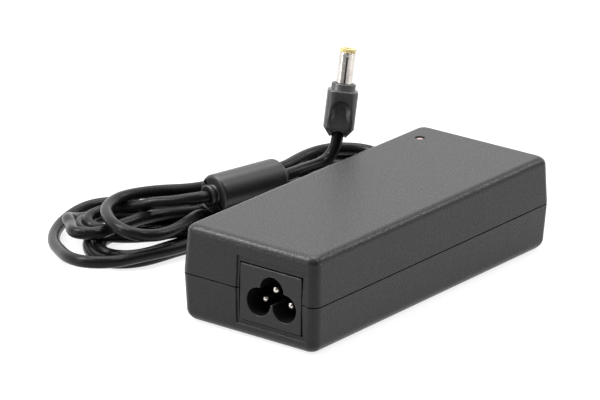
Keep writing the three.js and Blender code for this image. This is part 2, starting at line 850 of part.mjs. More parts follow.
/** The plug's moulded body: boot, chamfer, grip with an arched hollow on two faces, and a round collar. */
function plugBody() {
  const { boot, chamfer, body, collar, bootRadius, neckRadius, width, depth, round, collarRadius } = PLUG;
  const oval = (halfWidth, halfDepth, radius) => roundedRectangle(halfWidth, halfDepth, radius, 6);
  const outer = stacked([
    { z: 0, outline: oval(bootRadius, bootRadius, bootRadius - 0.01) },
    { z: boot, outline: oval(neckRadius, neckRadius, neckRadius - 0.01) },
    { z: boot + chamfer, outline: oval(width / 2, depth / 2, round) },
    { z: boot + chamfer + body - 0.5, outline: oval(width / 2, depth / 2, round) },
    { z: boot + chamfer + body, outline: oval(width / 2 - 0.5, depth / 2 - 0.5, round - 0.5) },
  ]);
  const neck = rod(collarRadius, collar + 1, [0, 0, boot + chamfer + body - 1], "z", 32);
  const hollows = [-1, 1].map((side) => gripHollow().translate([0, side * (depth / 2 + 1.5), boot + chamfer + 5.5]));
  const socket = rod(PLUG.barrelRadius + GAP, 5, [0, 0, PLUG_LENGTH - 4.5], "z", 24);
  return cut(join(outer, neck), ...hollows, socket);
}

/** The rounded hollow that a fingertip finds on the plug's grip. */
function gripHollow() {
  return solid(new THREE.SphereGeometry(1, 20, 12).scale(3.6, 2.6, 5.4));
}

/** The barrel: a tube with a spring slot down one side. */
function plugBarrel() {
  const { barrelRadius, barrelBore, barrelOut, slot, hole } = PLUG;
  const low = PLUG_LENGTH - 4.2;
  const top = PLUG_LENGTH + barrelOut;
  const shell = turned([
    [barrelBore, low],
    [barrelRadius, low],
    [barrelRadius, top - 0.3],
    [barrelRadius - 0.25, top],
    [barrelBore, top],
    [barrelBore, low],
  ]);
  const split = block([-slot / 2, -barrelRadius - 1, PLUG_LENGTH + 0.3], [slot / 2, -1.6, top - 2]);
  const end = rod(hole, 2, [0, -barrelRadius - 0.6, top - 1.5], "y", 12);
  return cut(shell, split, end);
}

/** The insulator between the barrel and the centre contact, with the rim that shows at the tip. */
function plugInsulator() {
  const { barrelRadius, barrelBore, barrelOut, contactRadius, tip } = PLUG;
  const low = PLUG_LENGTH - 4.2;
  const top = PLUG_LENGTH + barrelOut;
  const bore = contactRadius + GAP;
  return turned([
    [bore, low],
    [barrelBore - GAP, low],
    [barrelBore - GAP, top + GAP],
    [barrelRadius - 0.1, top + GAP],
    [barrelRadius - 0.5, top + GAP + tip],
    [bore, top + GAP + tip],
    [bore, low],
  ]);
}

/** The sprung tube in the middle, which grips the socket's pin. */
function plugContact() {
  const low = PLUG_LENGTH - 4.2;
  const top = PLUG_LENGTH + PLUG.barrelOut - 0.4;
  return turned(
    [
      [PLUG.contactBore, low],
      [PLUG.contactRadius, low],
      [PLUG.contactRadius, top],
      [PLUG.contactBore, top],
      [PLUG.contactBore, low],
    ],
    16,
  );
}

// ---------------------------------------------------------------- everything in its place

piece("upper_shell", upperShell(), LOOK.case);
piece("lower_shell", lowerShell(), LOOK.case);
piece("rating_label", ratingLabel(), LOOK.label);
piece("lamp_lens", lampLens(), LOOK.lens);
piece("lamp", lamp(), LOOK.lens);

piece("inlet_body", inletBody(), LOOK.inlet);
Object.entries(PIN_PLACES).forEach(([name, place]) => piece(name, inletPin(place), LOOK.nickel));

piece("shield_tray", shieldTray(), LOOK.steel);
piece("insulating_sheet", insulatingSheet(), LOOK.film);
piece("main_board", mainBoard(), LOOK.board);
piece("fuse", fuse(), LOOK.glass);
piece("interference_capacitor", block([-12.8, -39, BOARD_TOP], [2.2, -31, BOARD_TOP + 13]), LOOK.yellow);
piece("common_mode_choke", woundRing(8.5, 4, 11, [12, -30.6, BOARD_TOP]), LOOK.copper);
piece("bridge_rectifier", bridgeRectifier([-17, -13]), LOOK.epoxy);
piece("bulk_capacitor", canCapacitor(8.6, 28, [2, -21.5, BOARD_TOP + 8.6], "y"), LOOK.sleeve);
piece("primary_heat_sink", heatSink(-19.6, 0, 34, 1), LOOK.aluminium);
piece("switching_transistor", powerPackage([-16, 12], -1), LOOK.epoxy);
piece("transformer_core", transformerCore(), LOOK.ferrite);
piece("transformer_winding", transformerWinding(), LOOK.yellow);
piece("safety_capacitor", discCapacitor([-15, 41]), LOOK.ceramic);
piece("optocoupler", block([-9.5, 36, BOARD_TOP], [-5, 42.5, BOARD_TOP + 3.4]), LOOK.epoxy);
piece("secondary_heat_sink", heatSink(19.6, 10, 44, -1), LOOK.aluminium);
piece("output_rectifier", powerPackage([16.2, 37.5], 1), LOOK.epoxy);
piece("output_choke", woundRing(5.6, 2.4, 8, [5, 38.5, BOARD_TOP]), LOOK.copper);
[-8.5, 14].forEach((x, i) =>
  piece(`output_capacitor_${i + 1}`, canCapacitor(4.6, 16, [x, 50, BOARD_TOP], "z"), LOOK.sleeve),
);
piece("output_wire_positive", outputWire(1.2), LOOK.redWire);
piece("output_wire_negative", outputWire(-1.2), LOOK.blackWire);

piece("strain_relief", strainRelief(), LOOK.rubber);
piece("lead_from_case", tube(FROM_CASE, LEAD / 2, 18), LOOK.rubber);
piece("lead_hank", woundLead(), LOOK.rubber, hank);
piece("lead_to_plug", tube(TO_PLUG, LEAD / 2, 40), LOOK.rubber, hank);
piece("cable_tie", cableTie(), LOOK.tape, hank);

const choke = new THREE.Group();
choke.position.set(CHOKE.across, CHOKE.start, CHOKE.height);
choke.rotation.x = -Math.PI / 2;
hank.add(choke);
piece("choke_sleeve", chokeSleeve(), LOOK.rubber, choke);
piece("ferrite_core", ferriteCore(), LOOK.ferrite, choke);

const plug = new THREE.Group();
plug.position.set(...TO_PLUG.at(-1));
group.updateMatrixWorld(true);
plug.position.applyMatrix4(hank.matrixWorld);
const plugAxis = new THREE.Vector3(...PLUG.axis).normalize();
plug.quaternion.setFromUnitVectors(new THREE.Vector3(0, 0, 1), plugAxis);
plug.position.addScaledVector(plugAxis, PLUG.offLead);
plug.rotateZ(PLUG.spin);
group.add(plug);
piece("plug_body", plugBody(), LOOK.rubber, plug);
piece("plug_barrel", plugBarrel(), LOOK.nickel, plug);
piece("plug_insulator", plugInsulator(), LOOK.tip, plug);
piece("plug_contact", plugContact(), LOOK.nickel, plug);

export default group;
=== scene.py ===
# The looks of a laptop power adapter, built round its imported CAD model: a two-shell case, its mains inlet,
# and the low-voltage lead in a tied hank, with its choke and barrel plug. Lengths are in metres, in the
# model's own frame.

import json
import math

import bmesh
import bpy
from mathutils import Matrix, Quaternion, Vector


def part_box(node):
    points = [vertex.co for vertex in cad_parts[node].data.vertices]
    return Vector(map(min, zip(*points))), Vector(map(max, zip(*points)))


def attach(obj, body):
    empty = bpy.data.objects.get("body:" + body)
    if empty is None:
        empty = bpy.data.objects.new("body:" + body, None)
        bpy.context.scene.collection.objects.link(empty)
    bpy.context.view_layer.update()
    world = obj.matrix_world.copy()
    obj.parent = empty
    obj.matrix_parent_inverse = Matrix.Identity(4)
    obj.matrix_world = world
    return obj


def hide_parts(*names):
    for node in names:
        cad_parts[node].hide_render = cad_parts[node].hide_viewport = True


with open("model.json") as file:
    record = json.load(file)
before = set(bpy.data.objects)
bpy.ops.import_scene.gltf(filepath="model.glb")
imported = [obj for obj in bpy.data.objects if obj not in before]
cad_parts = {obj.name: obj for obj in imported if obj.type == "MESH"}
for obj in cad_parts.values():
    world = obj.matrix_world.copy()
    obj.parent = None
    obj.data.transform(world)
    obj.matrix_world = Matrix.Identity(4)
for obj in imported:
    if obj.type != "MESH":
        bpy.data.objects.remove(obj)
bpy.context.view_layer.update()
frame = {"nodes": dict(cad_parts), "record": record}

# ---------------------------------------------------------------- driving sizes

GAP = 0.0003  # between two pieces that touch

CASE_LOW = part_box("lower_shell")[0]
CASE_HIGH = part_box("upper_shell")[1]
CASE_HEIGHT = CASE_HIGH.z
SEAM = CASE_HEIGHT / 2
CASE_WALL = 0.0022
CASE_DRAFT = 0.0008  # how far a wall leans in between the seam and the top or the underside
CASE_CORNER = 0.0031
CASE_EDGE = 0.00018  # the rounding of the edges that the cuts leave
TOP_ROUND = 0.0025
BOTTOM_ROUND = 0.0035
LAMP_RADIUS = 0.00148
LAMP_HOLE = 0.00158
RELIEF_HOLE = 0.0049
PAST = 0.001  # how far a cutting tool reaches past what it cuts

STEP_LEFT = 0.0012  # the shallow step round the inlet, past the inlet's plate
STEP_RIGHT = 0.0018
STEP_BELOW = 0.0015
STEP_ABOVE = 0.0022
STEP_DEPTH = 0.00055
INLET_INSET = 0.0008  # from the plate's edge in to the housing behind it
LOBE_RADIUS = 0.0045
LOBE_DEPTH = 0.014
PIN_BORE = 0.0013

LEAD = 0.004
HANK_PLACE = Vector((-0.066, 0.002, 0))
HANK_TURN = math.radians(-12)
HANK = Matrix.Translation(HANK_PLACE) @ Matrix.Rotation(HANK_TURN, 4, "Z")

CHOKE_PLACE = Vector((0.0056, -0.003, 0.0162))  # in the hank's frame
CHOKE_RADIUS = 0.0065
CHOKE_LENGTH = 0.027
CHOKE_BOSS = 0.0025

PLUG_AXIS = Vector((-0.012, 0.19, 1)).normalized()
PLUG_SPIN = math.radians(37)
IN_PLUG = 0.0034  # how far the lead goes into the plug
PLUG_FLAT = 0.003  # where the grip reaches its full section, from the end that the lead enters
PLUG_SHOULDER = 0.0156
PLUG_LENGTH = 0.0179
PLUG_HALF_WIDTH = 0.0051
PLUG_HALF_DEPTH = 0.0047
PLUG_BASE = 0.0029  # the radius of the sloping base at its low end
PLUG_COLLAR = 0.00405
HOLLOW_DEPTH = 0.0015
BARREL_RADIUS = 0.00275
BARREL_BORE = 0.0024
BARREL_FOOT = PLUG_LENGTH - 0.0038
BARREL_OUT = 0.011
TIP_LAP = 0.0007  # how far the tip's rim comes down over the barrel's end
TIP_RISE = 0.0006  # how far it stands past the barrel's length
TIP_BORE = 0.00125

# ---------------------------------------------------------------- the lead's route

# From the strain relief, round the back of the case and along its side.
FROM_CASE = [
    (0, 0.0836, 0.01575), (0, 0.087, 0.01575), (-0.0014, 0.0916, 0.0152), (-0.006, 0.097, 0.013),
    (-0.013, 0.1, 0.0094), (-0.022, 0.098, 0.0052), (-0.029, 0.0905, 0.0028), (-0.032, 0.0805, 0.0022),
    (-0.033, 0.068, 0.0021), (-0.033, 0.054, 0.0021), (-0.0346, 0.041, 0.0021), (-0.038, 0.029, 0.0021),
]
# Into the waist, in the frame of the hank, as all that follows: across towards the case, along, height.
ENTRY = [
    (0.0196, 0.024, 0.0021), (0.016, 0.014, 0.0023), (0.0126, 0.007, 0.0029),
]
# The two lowest loops at the near end, each followed by a loop at the far end.
NEAR_1 = [
    (0.011, 0, 0.0029), (0.0094, -0.01, 0.0022), (0.0092, -0.021, 0.0021), (0.0096, -0.032, 0.0021),
    (0.0074, -0.0405, 0.0021), (0.002, -0.045, 0.0021), (-0.0054, -0.0438, 0.0021),
    (-0.0128, -0.0394, 0.0021), (-0.0186, -0.0314, 0.0021), (-0.0175, -0.021, 0.0021),
    (-0.011, -0.01, 0.0024), (-0.0057, 0, 0.0029),
]
FAR_1 = [
    (-0.0056, 0.008, 0.0029), (-0.0089, 0.019, 0.0022), (-0.012, 0.028, 0.0021), (-0.01, 0.036, 0.0021),
    (-0.004, 0.0405, 0.0021), (0.003, 0.04, 0.0021), (0.009, 0.035, 0.0021), (0.0106, 0.026, 0.0021),
    (0.0088, 0.016, 0.0024), (0.0069, 0.008, 0.0029),
]
NEAR_2 = [
    (0.0069, 0, 0.0029), (0.005, -0.012, 0.0022), (0.005, -0.022, 0.0021), (0.0052, -0.031, 0.0021),
    (0.0026, -0.0376, 0.0021), (-0.003, -0.0402, 0.0021), (-0.0096, -0.0372, 0.0021),
    (-0.0139, -0.03, 0.0021), (-0.0118, -0.02, 0.0021), (-0.0056, -0.009, 0.0023), (-0.0015, 0, 0.0029),
]
FAR_2 = [
    (-0.0013, 0.008, 0.0029), (-0.0036, 0.017, 0.0026), (-0.005, 0.025, 0.0036), (-0.0046, 0.032, 0.0054),
    (-0.002, 0.0385, 0.0063), (0.002, 0.044, 0.0052), (0.007, 0.049, 0.0026), (0.0124, 0.051, 0.0022),
    (0.0166, 0.047, 0.0021), (0.018, 0.039, 0.0021), (0.0166, 0.029, 0.0028), (0.0143, 0.019, 0.0052),
    (0.0114, 0.01, 0.0068),
]
# The widest loop, which lies outermost.
NEAR_3 = [
    (0.011, 0, 0.0069), (0.0126, -0.01, 0.006), (0.014, -0.021, 0.0054), (0.0145, -0.031, 0.0057),
    (0.014, -0.041, 0.006), (0.0124, -0.0506, 0.0061), (0.008, -0.056, 0.006), (0.001, -0.057, 0.0053),
    (-0.009, -0.0535, 0.004), (-0.019, -0.0485, 0.003), (-0.0276, -0.0412, 0.0028),
    (-0.0337, -0.0318, 0.0034), (-0.0358, -0.0218, 0.0045), (-0.0334, -0.0132, 0.0047),
    (-0.026, -0.0056, 0.0037), (-0.0184, 0, 0.0029), (-0.0142, 0.006, 0.0029),
]
FAR_3 = [
    (-0.0154, 0.012, 0.003), (-0.0194, 0.023, 0.0036), (-0.0216, 0.036, 0.0062), (-0.022, 0.05, 0.0064),
    (-0.0209, 0.0618, 0.0064), (-0.0156, 0.0724, 0.0065), (-0.005, 0.0774, 0.0065), (0.0054, 0.0748, 0.0064),
    (0.013, 0.0655, 0.0064), (0.0172, 0.054, 0.0064), (0.0174, 0.041, 0.0064), (0.0136, 0.027, 0.0067),
    (0.0094, 0.017, 0.0069), (0.0072, 0.008, 0.0069),
]
# The loops on top of them.
NEAR_4 = [
    (0.0069, 0, 0.0069), (0.0059, -0.008, 0.0061), (0.0046, -0.015, 0.0062), (0.0028, -0.022, 0.0062),
    (0.0004, -0.0286, 0.0062), (-0.0034, -0.034, 0.0062), (-0.0084, -0.038, 0.0062),
    (-0.014, -0.04, 0.0062), (-0.0196, -0.0384, 0.0062), (-0.0234, -0.0326, 0.0058),
    (-0.0244, -0.0246, 0.0048), (-0.0216, -0.0154, 0.0035), (-0.0154, -0.007, 0.003), (-0.0095, 0, 0.0029),
]
FAR_4 = [
    (-0.0096, 0.007, 0.003), (-0.0106, 0.013, 0.0047), (-0.0112, 0.02, 0.0058), (-0.0124, 0.029, 0.0064),
    (-0.0132, 0.038, 0.0064), (-0.013, 0.047, 0.0064), (-0.0104, 0.0565, 0.0064), (-0.0034, 0.062, 0.0064),
    (0.004, 0.06, 0.0064), (0.0084, 0.053, 0.0064), (0.0088, 0.043, 0.0064), (0.0054, 0.032, 0.0065),
    (0.0004, 0.021, 0.0068), (-0.003, 0.013, 0.0069), (-0.0052, 0.007, 0.0069),
]
NEAR_5 = [
    (-0.0054, 0, 0.0069), (-0.0066, -0.008, 0.0076), (-0.0066, -0.017, 0.0086), (-0.005, -0.027, 0.0096),
    (-0.0029, -0.036, 0.0101), (-0.0021, -0.0426, 0.0102), (-0.0033, -0.0466, 0.0102),
    (-0.0068, -0.0488, 0.01), (-0.0112, -0.0474, 0.0095), (-0.0158, -0.0442, 0.0089),
    (-0.0209, -0.0414, 0.0088), (-0.0256, -0.0362, 0.0066), (-0.028, -0.0284, 0.0044),
    (-0.0274, -0.0196, 0.004), (-0.022, -0.0096, 0.005), (-0.0144, 0.0006, 0.0069),
]
FAR_5 = [
    (-0.0137, 0.008, 0.0069), (-0.0148, 0.017, 0.0073), (-0.0166, 0.027, 0.0072), (-0.0178, 0.04, 0.0066),
    (-0.0174, 0.053, 0.0066), (-0.0144, 0.0625, 0.0066), (-0.008, 0.069, 0.0066), (0, 0.0696, 0.0066),
    (0.0074, 0.065, 0.0066), (0.0122, 0.056, 0.0066), (0.013, 0.044, 0.0066), (0.0104, 0.032, 0.0067),
    (0.0062, 0.019, 0.0069), (0.0032, 0.008, 0.007),
]
# The uppermost loop, over the tie at its end.
NEAR_6 = [
    (0.0028, 0, 0.0072), (0.0039, -0.0064, 0.0095), (0.007, -0.0134, 0.0102), (0.011, -0.0216, 0.0106),
    (0.0136, -0.0296, 0.0112), (0.0138, -0.036, 0.012), (0.0112, -0.0406, 0.013), (0.005, -0.042, 0.0138),
    (-0.0026, -0.0394, 0.0141), (-0.0088, -0.0354, 0.0141), (-0.013, -0.0302, 0.0141),
    (-0.0154, -0.024, 0.014), (-0.0158, -0.0164, 0.0136), (-0.0146, -0.008, 0.013),
    (-0.0126, -0.0004, 0.0123), (-0.0117, 0.006, 0.0118),
]
FAR_6 = [
    (-0.0117, 0.014, 0.0114), (-0.0116, 0.024, 0.011), (-0.0115, 0.034, 0.011), (-0.0124, 0.043, 0.011),
    (-0.0152, 0.0515, 0.011), (-0.0169, 0.059, 0.011), (-0.0164, 0.0664, 0.011), (-0.013, 0.0724, 0.0109),
    (-0.0066, 0.076, 0.0108), (0.0004, 0.0744, 0.0107), (0.0058, 0.0674, 0.0107), (0.0072, 0.057, 0.0107),
    (0.0056, 0.044, 0.0107), (0.0006, 0.031, 0.0106), (-0.0046, 0.02, 0.0096), (-0.0078, 0.012, 0.0079),
    (-0.0093, 0.006, 0.007),
]
# The last turn, small and tight, under the uppermost loop.
NEAR_7 = [
    (-0.0095, 0.001, 0.0069), (-0.0106, -0.008, 0.0068), (-0.0112, -0.016, 0.0066),
    (-0.0106, -0.024, 0.0062), (-0.0098, -0.029, 0.0061), (-0.0104, -0.0334, 0.0064),
    (-0.014, -0.0366, 0.0071), (-0.0184, -0.0352, 0.0078), (-0.0204, -0.031, 0.0084),
    (-0.0186, -0.0262, 0.0094), (-0.0134, -0.0224, 0.0105),
]
# Out of the hank, through the choke and up into the plug.
TO_PLUG = [
    (-0.0054, -0.0189, 0.0136), (-0.0006, -0.0154, 0.0147), (0.0028, -0.0119, 0.0156),
    (0.0049, -0.0088, 0.0161), (0.0056, -0.0064, 0.0162), (0.0056, -0.005, 0.0162), (0.0056, 0.024, 0.0162),
    (0.0056, 0.027, 0.0162), (0.0053, 0.0315, 0.0162), (0.0044, 0.037, 0.0161), (0.0036, 0.042, 0.0159),
    (0.0033, 0.046, 0.0162), (0.0034, 0.0492, 0.0179), (0.0037, 0.0509, 0.0206), (0.0039, 0.0516, 0.0236),
]
LOOPS = [
    ENTRY, NEAR_1, FAR_1, NEAR_2, FAR_2, NEAR_3, FAR_3, NEAR_4, FAR_4, NEAR_5, FAR_5, NEAR_6, FAR_6, NEAR_7,
    TO_PLUG,
]
ROUTE = [Vector(p) for p in FROM_CASE] + [HANK @ Vector(p) for loop in LOOPS for p in loop]

# ---------------------------------------------------------------- camera

CAMERA_PLACE = Vector((0.8167, -1.1312, 0.5255))
CAMERA_AZIMUTH = math.radians(36.74)
CAMERA_ELEVATION = math.radians(19.65)
CAMERA_ROLL = math.radians(1.04)
CAMERA_LENS = 282.8  # millimetres, as Blender has it
CAMERA_CLIP = (0.1, 30)


def add_camera():
    data = bpy.data.cameras.new("camera")
    data.lens = CAMERA_LENS
    data.clip_start, data.clip_end = CAMERA_CLIP
    camera = bpy.data.objects.new("camera", data)
    bpy.context.collection.objects.link(camera)
    sine, cosine = math.sin(CAMERA_AZIMUTH), math.cos(CAMERA_AZIMUTH)
    level = math.cos(CAMERA_ELEVATION)
    back = Vector((sine * level, -cosine * level, math.sin(CAMERA_ELEVATION)))
    side = Vector((cosine, sine, 0))
    turned = Matrix((side, back.cross(side), back)).transposed() @ Matrix.Rotation(CAMERA_ROLL, 3, "Z")
    camera.matrix_world = Matrix.Translation(CAMERA_PLACE) @ turned.to_4x4()
    bpy.context.scene.camera = camera


add_camera()

# ---------------------------------------------------------------- material building blocks

# The edges' paler tone: partly wear, partly a painted highlight along the edges.
WORN_AND_LIT_EDGE_TONE = [0.10, 0.10, 0.105]
EDGE_REACH = 0.0005  # how far from an edge the wear and the painted edge highlight go
WEAR_AND_LIT_EDGE_PATCH = 0.004
SPECK_TONE = 0.35  # a speck's tone as a share of the colour
GLOSS_SPREAD = 0.05  # either way from a moulded surface's roughness
TARNISH_PATCH = 0.003
TARNISH_TONE = 0.82
SCRATCH = 0.0003


def material_of(name, roughness, metallic=0.0, **sockets):
    """A new material and its shader, with what is the same all over set on the shader's own sockets."""
    material = bpy.data.materials.new(name)
    material.use_nodes = True
    tree = material.node_tree
    tree.nodes.clear()
    output = tree.nodes.new("ShaderNodeOutputMaterial")
    shader = tree.nodes.new("ShaderNodeBsdfPrincipled")
    tree.links.new(shader.outputs["BSDF"], output.inputs["Surface"])
    shader.inputs["Roughness"].default_value = roughness
    shader.inputs["Metallic"].default_value = metallic
    for socket, value in sockets.items():
        shader.inputs[socket.replace("_", " ")].default_value = value
    return material, shader


def noise_in(tree, size, detail=3.0, stretch=(1, 1, 1), distortion=0.0):
    """Noise whose blobs are about size metres across, from the piece's own coordinates."""
    place = tree.nodes.new("ShaderNodeTexCoord")
    scaling = tree.nodes.new("ShaderNodeMapping")
    scaling.inputs["Scale"].default_value = stretch
    noise = tree.nodes.new("ShaderNodeTexNoise")
    noise.inputs["Scale"].default_value = 1 / size
    noise.inputs["Detail"].default_value = detail
    noise.inputs["Distortion"].default_value = distortion
    tree.links.new(place.outputs["Object"], scaling.inputs["Vector"])
    tree.links.new(scaling.outputs["Vector"], noise.inputs["Vector"])
    return noise.outputs["Fac"]


def ranged(tree, value, low, high, to_low, to_high):
    """A value moved from one range to another, and held inside it."""
    node = tree.nodes.new("ShaderNodeMapRange")
    node.interpolation_type = "SMOOTHSTEP"
    for socket, number in zip(("From Min", "From Max", "To Min", "To Max"), (low, high, to_low, to_high)):
        node.inputs[socket].default_value = number
    tree.links.new(value, node.inputs["Value"])
    return node.outputs["Result"]


def mixed(tree, share, first, second):
    """Two colours mixed by a share; each is a colour or an output."""
    node = tree.nodes.new("ShaderNodeMix")
    node.data_type = "RGBA"
    tree.links.new(share, node.inputs["Factor"])
    for socket, colour in (("A", first), ("B", second)):
        inputs = [i for i in node.inputs if i.name == socket and i.type == "RGBA"][0]
        if isinstance(colour, bpy.types.NodeSocket):
            tree.links.new(colour, inputs)
        else:
            inputs.default_value = (*colour, 1)
    return [o for o in node.outputs if o.type == "RGBA"][0]


def bumped(tree, shader, height, depth, below=None):
    """Gives the shader's normal a relief of that depth in metres, on top of another relief's normal."""
    bump = tree.nodes.new("ShaderNodeBump")
    bump.inputs["Strength"].default_value = 1
    bump.inputs["Distance"].default_value = depth
    tree.links.new(height, bump.inputs["Height"])
    if below is not None:
        tree.links.new(below, bump.inputs["Normal"])
    tree.links.new(bump.outputs["Normal"], shader.inputs["Normal"])
    return bump.outputs["Normal"]


def edge_share(tree, reach):
    """How far a place has the paler edge, which is partly wear and partly a painted highlight: 1 along the
    edges, within reach of them, and 0 elsewhere.
    """
    rounded = tree.nodes.new("ShaderNodeBevel")
    rounded.samples = 4
    rounded.inputs["Radius"].default_value = reach
    true = tree.nodes.new("ShaderNodeNewGeometry")
    dot = tree.nodes.new("ShaderNodeVectorMath")
    dot.operation = "DOT_PRODUCT"
    tree.links.new(rounded.outputs["Normal"], dot.inputs[0])
    tree.links.new(true.outputs["Normal"], dot.inputs[1])
    return ranged(tree, dot.outputs["Value"], 0.9, 0.995, 1.0, 0.0)


def worn_and_lit_edges(tree, tone, edge_wear_and_highlight):
    """The tone, turned paler along the edges in patches: partly wear, partly a painted edge highlight."""
    rubbed_and_lit = tree.nodes.new("ShaderNodeMath")
    rubbed_and_lit.operation = "MULTIPLY"
    patches = ranged(tree, noise_in(tree, WEAR_AND_LIT_EDGE_PATCH, detail=6), 0.4, 0.7, 0.15 * edge_wear_and_highlight, edge_wear_and_highlight)
    tree.links.new(edge_share(tree, EDGE_REACH), rubbed_and_lit.inputs[0])
    tree.links.new(patches, rubbed_and_lit.inputs[1])
    return mixed(tree, rubbed_and_lit.outputs["Value"], tone, WORN_AND_LIT_EDGE_TONE)


def moulded(
    name, colour, roughness, grain=0.00025, relief=0.00002, blotch=0.012, spread=0.25, edge_wear_and_highlight=0.0, **sockets
):
    """A moulded plastic or rubber: soft blotches, dark specks, uneven gloss, fine grain and paler edges,
    which are partly wear and partly a painted edge highlight.
    """
    material, shader = material_of(name, roughness, **sockets)
    tree = material.node_tree
    darker = [c * (1 - spread) for c in colour]
    paler = [c * (1 + spread) for c in colour]
    blotches = ranged(tree, noise_in(tree, blotch, detail=5), 0.3, 0.7, 0.0, 1.0)
    fine = noise_in(tree, grain, detail=2)
    specks = ranged(tree, fine, 0.4, 0.6, 0.0, 0.6)
    tone = mixed(tree, specks, mixed(tree, blotches, darker, paler), [c * SPECK_TONE for c in colour])
    # Paler edges: partly wear, partly a painted highlight along the edges.
    if edge_wear_and_highlight:
        tone = worn_and_lit_edges(tree, tone, edge_wear_and_highlight)
    gloss = ranged(tree, fine, 0.35, 0.65, roughness - GLOSS_SPREAD, roughness + GLOSS_SPREAD)
    tree.links.new(tone, shader.inputs["Base Color"])
    tree.links.new(gloss, shader.inputs["Roughness"])
    coarse = bumped(tree, shader, noise_in(tree, grain * 3, detail=2), relief * 0.3)
    bumped(tree, shader, fine, relief, coarse)
    return material


def metal(name, colour, roughness, brushed=(1, 1, 1), relief=0.000002):
    """A bare or plated metal: fine lines or specks, uneven gloss and a little tarnish."""
    material, shader = material_of(name, roughness, metallic=1.0)
    tree = material.node_tree
    tarnish = ranged(tree, noise_in(tree, TARNISH_PATCH, detail=6), 0.35, 0.75, 0.0, 1.0)
    tone = mixed(tree, tarnish, colour, [c * TARNISH_TONE for c in colour])
    lines = noise_in(tree, SCRATCH, detail=3, stretch=brushed)
    gloss = ranged(tree, lines, 0.3, 0.7, roughness * 0.75, roughness * 1.3)
    tree.links.new(tone, shader.inputs["Base Color"])
    tree.links.new(gloss, shader.inputs["Roughness"])
    bumped(tree, shader, lines, relief)
    return material


# ---------------------------------------------------------------- materials


TAPE_THREADS = 700  # the scale of the weave's waves


def woven_tape():
    """A dull black woven tape: fine crossing threads."""
    material, shader = material_of("woven_tape", 0.85, Sheen_Weight=0.15, Sheen_Roughness=0.5)
    tree = material.node_tree
    place = tree.nodes.new("ShaderNodeTexCoord")
    threads = []
    for direction in ("X", "Y"):
        wave = tree.nodes.new("ShaderNodeTexWave")
        wave.bands_direction = direction
        wave.inputs["Scale"].default_value = TAPE_THREADS
        wave.inputs["Distortion"].default_value = 1.5
        wave.inputs["Detail"].default_value = 2
        tree.links.new(place.outputs["Object"], wave.inputs["Vector"])
        threads.append(wave.outputs["Fac"])
    weave = tree.nodes.new("ShaderNodeMath")
    weave.operation = "MAXIMUM"
    tree.links.new(threads[0], weave.inputs[0])
    tree.links.new(threads[1], weave.inputs[1])
    tone = mixed(tree, weave.outputs["Value"], [0.004, 0.004, 0.004], [0.013, 0.013, 0.014])
    tree.links.new(tone, shader.inputs["Base Color"])
    bumped(tree, shader, weave.outputs["Value"], 0.00008)
    return material


def foil_label():
    """A satin foil label with a brushed sheen, and nothing printed on it."""
    material, shader = material_of("foil_label", 0.35, metallic=0.6)
    tree = material.node_tree
    sheen = ranged(tree, noise_in(tree, 0.0006, detail=4, stretch=(0.05, 1, 1)), 0.3, 0.7, 0.0, 1.0)
    tree.links.new(mixed(tree, sheen, [0.5, 0.51, 0.52], [0.62, 0.63, 0.64]), shader.inputs["Base Color"])
    tree.links.new(ranged(tree, sheen, 0, 1, 0.28, 0.42), shader.inputs["Roughness"])
    bumped(tree, shader, noise_in(tree, 0.002, detail=3), 0.000008)
    return material


def lamp_plastic():
    """The lamp's clear, slightly smoky lens."""
    material, shader = material_of(
        "lamp_plastic", 0.35, Transmission_Weight=0.25, IOR=1.49, Coat_Weight=0.2, Coat_Roughness=0.3
    )
    tree = material.node_tree
    cloud = ranged(tree, noise_in(tree, 0.0012, detail=3), 0.3, 0.7, 0.0, 1.0)
    tree.links.new(mixed(tree, cloud, [0.40, 0.27, 0.25], [0.48, 0.34, 0.31]), shader.inputs["Base Color"])
    bumped(tree, shader, noise_in(tree, 0.0004, detail=2), 0.000004)
    return material


# The paler edges given by these moulded materials are partly wear and partly a painted edge highlight.
CASE_PLASTIC = moulded(
    "case_plastic", [0.0155, 0.0155, 0.0165], 0.31, grain=0.0005, relief=0.00008, spread=0.04, edge_wear_and_highlight=0.3,
    Specular_IOR_Level=0.22,
)
INLET_PLASTIC = moulded(
    "inlet_plastic", [0.0095, 0.0095, 0.0103], 0.38, grain=0.0006, relief=0.000008, spread=0.1, edge_wear_and_highlight=0.6,
    Specular_IOR_Level=0.3,
)
LEAD_RUBBER = moulded(
    "lead_rubber", [0.009, 0.009, 0.0095], 0.29, grain=0.0006, relief=0.000003, blotch=0.02, spread=0.1,
    Specular_IOR_Level=0.13,
)
CHOKE_RUBBER = moulded(
    "choke_rubber", [0.008, 0.008, 0.0087], 0.4, grain=0.0006, relief=0.00001, blotch=0.006, spread=0.12,
    edge_wear_and_highlight=0.5,
)
PLUG_RUBBER = moulded(
    "plug_rubber", [0.034, 0.034, 0.035], 0.34, grain=0.0005, relief=0.000004, blotch=0.006, edge_wear_and_highlight=0.3,
    Specular_IOR_Level=0.6,
)
WOVEN_TAPE = woven_tape()
LAMP_PLASTIC = lamp_plastic()
NICKEL = metal("nickel", [0.6, 0.56, 0.52], 0.22)
TIP_PLASTIC = moulded("tip_plastic", [0.62, 0.49, 0.2], 0.45, grain=0.0008, relief=0.000003, spread=0.06)

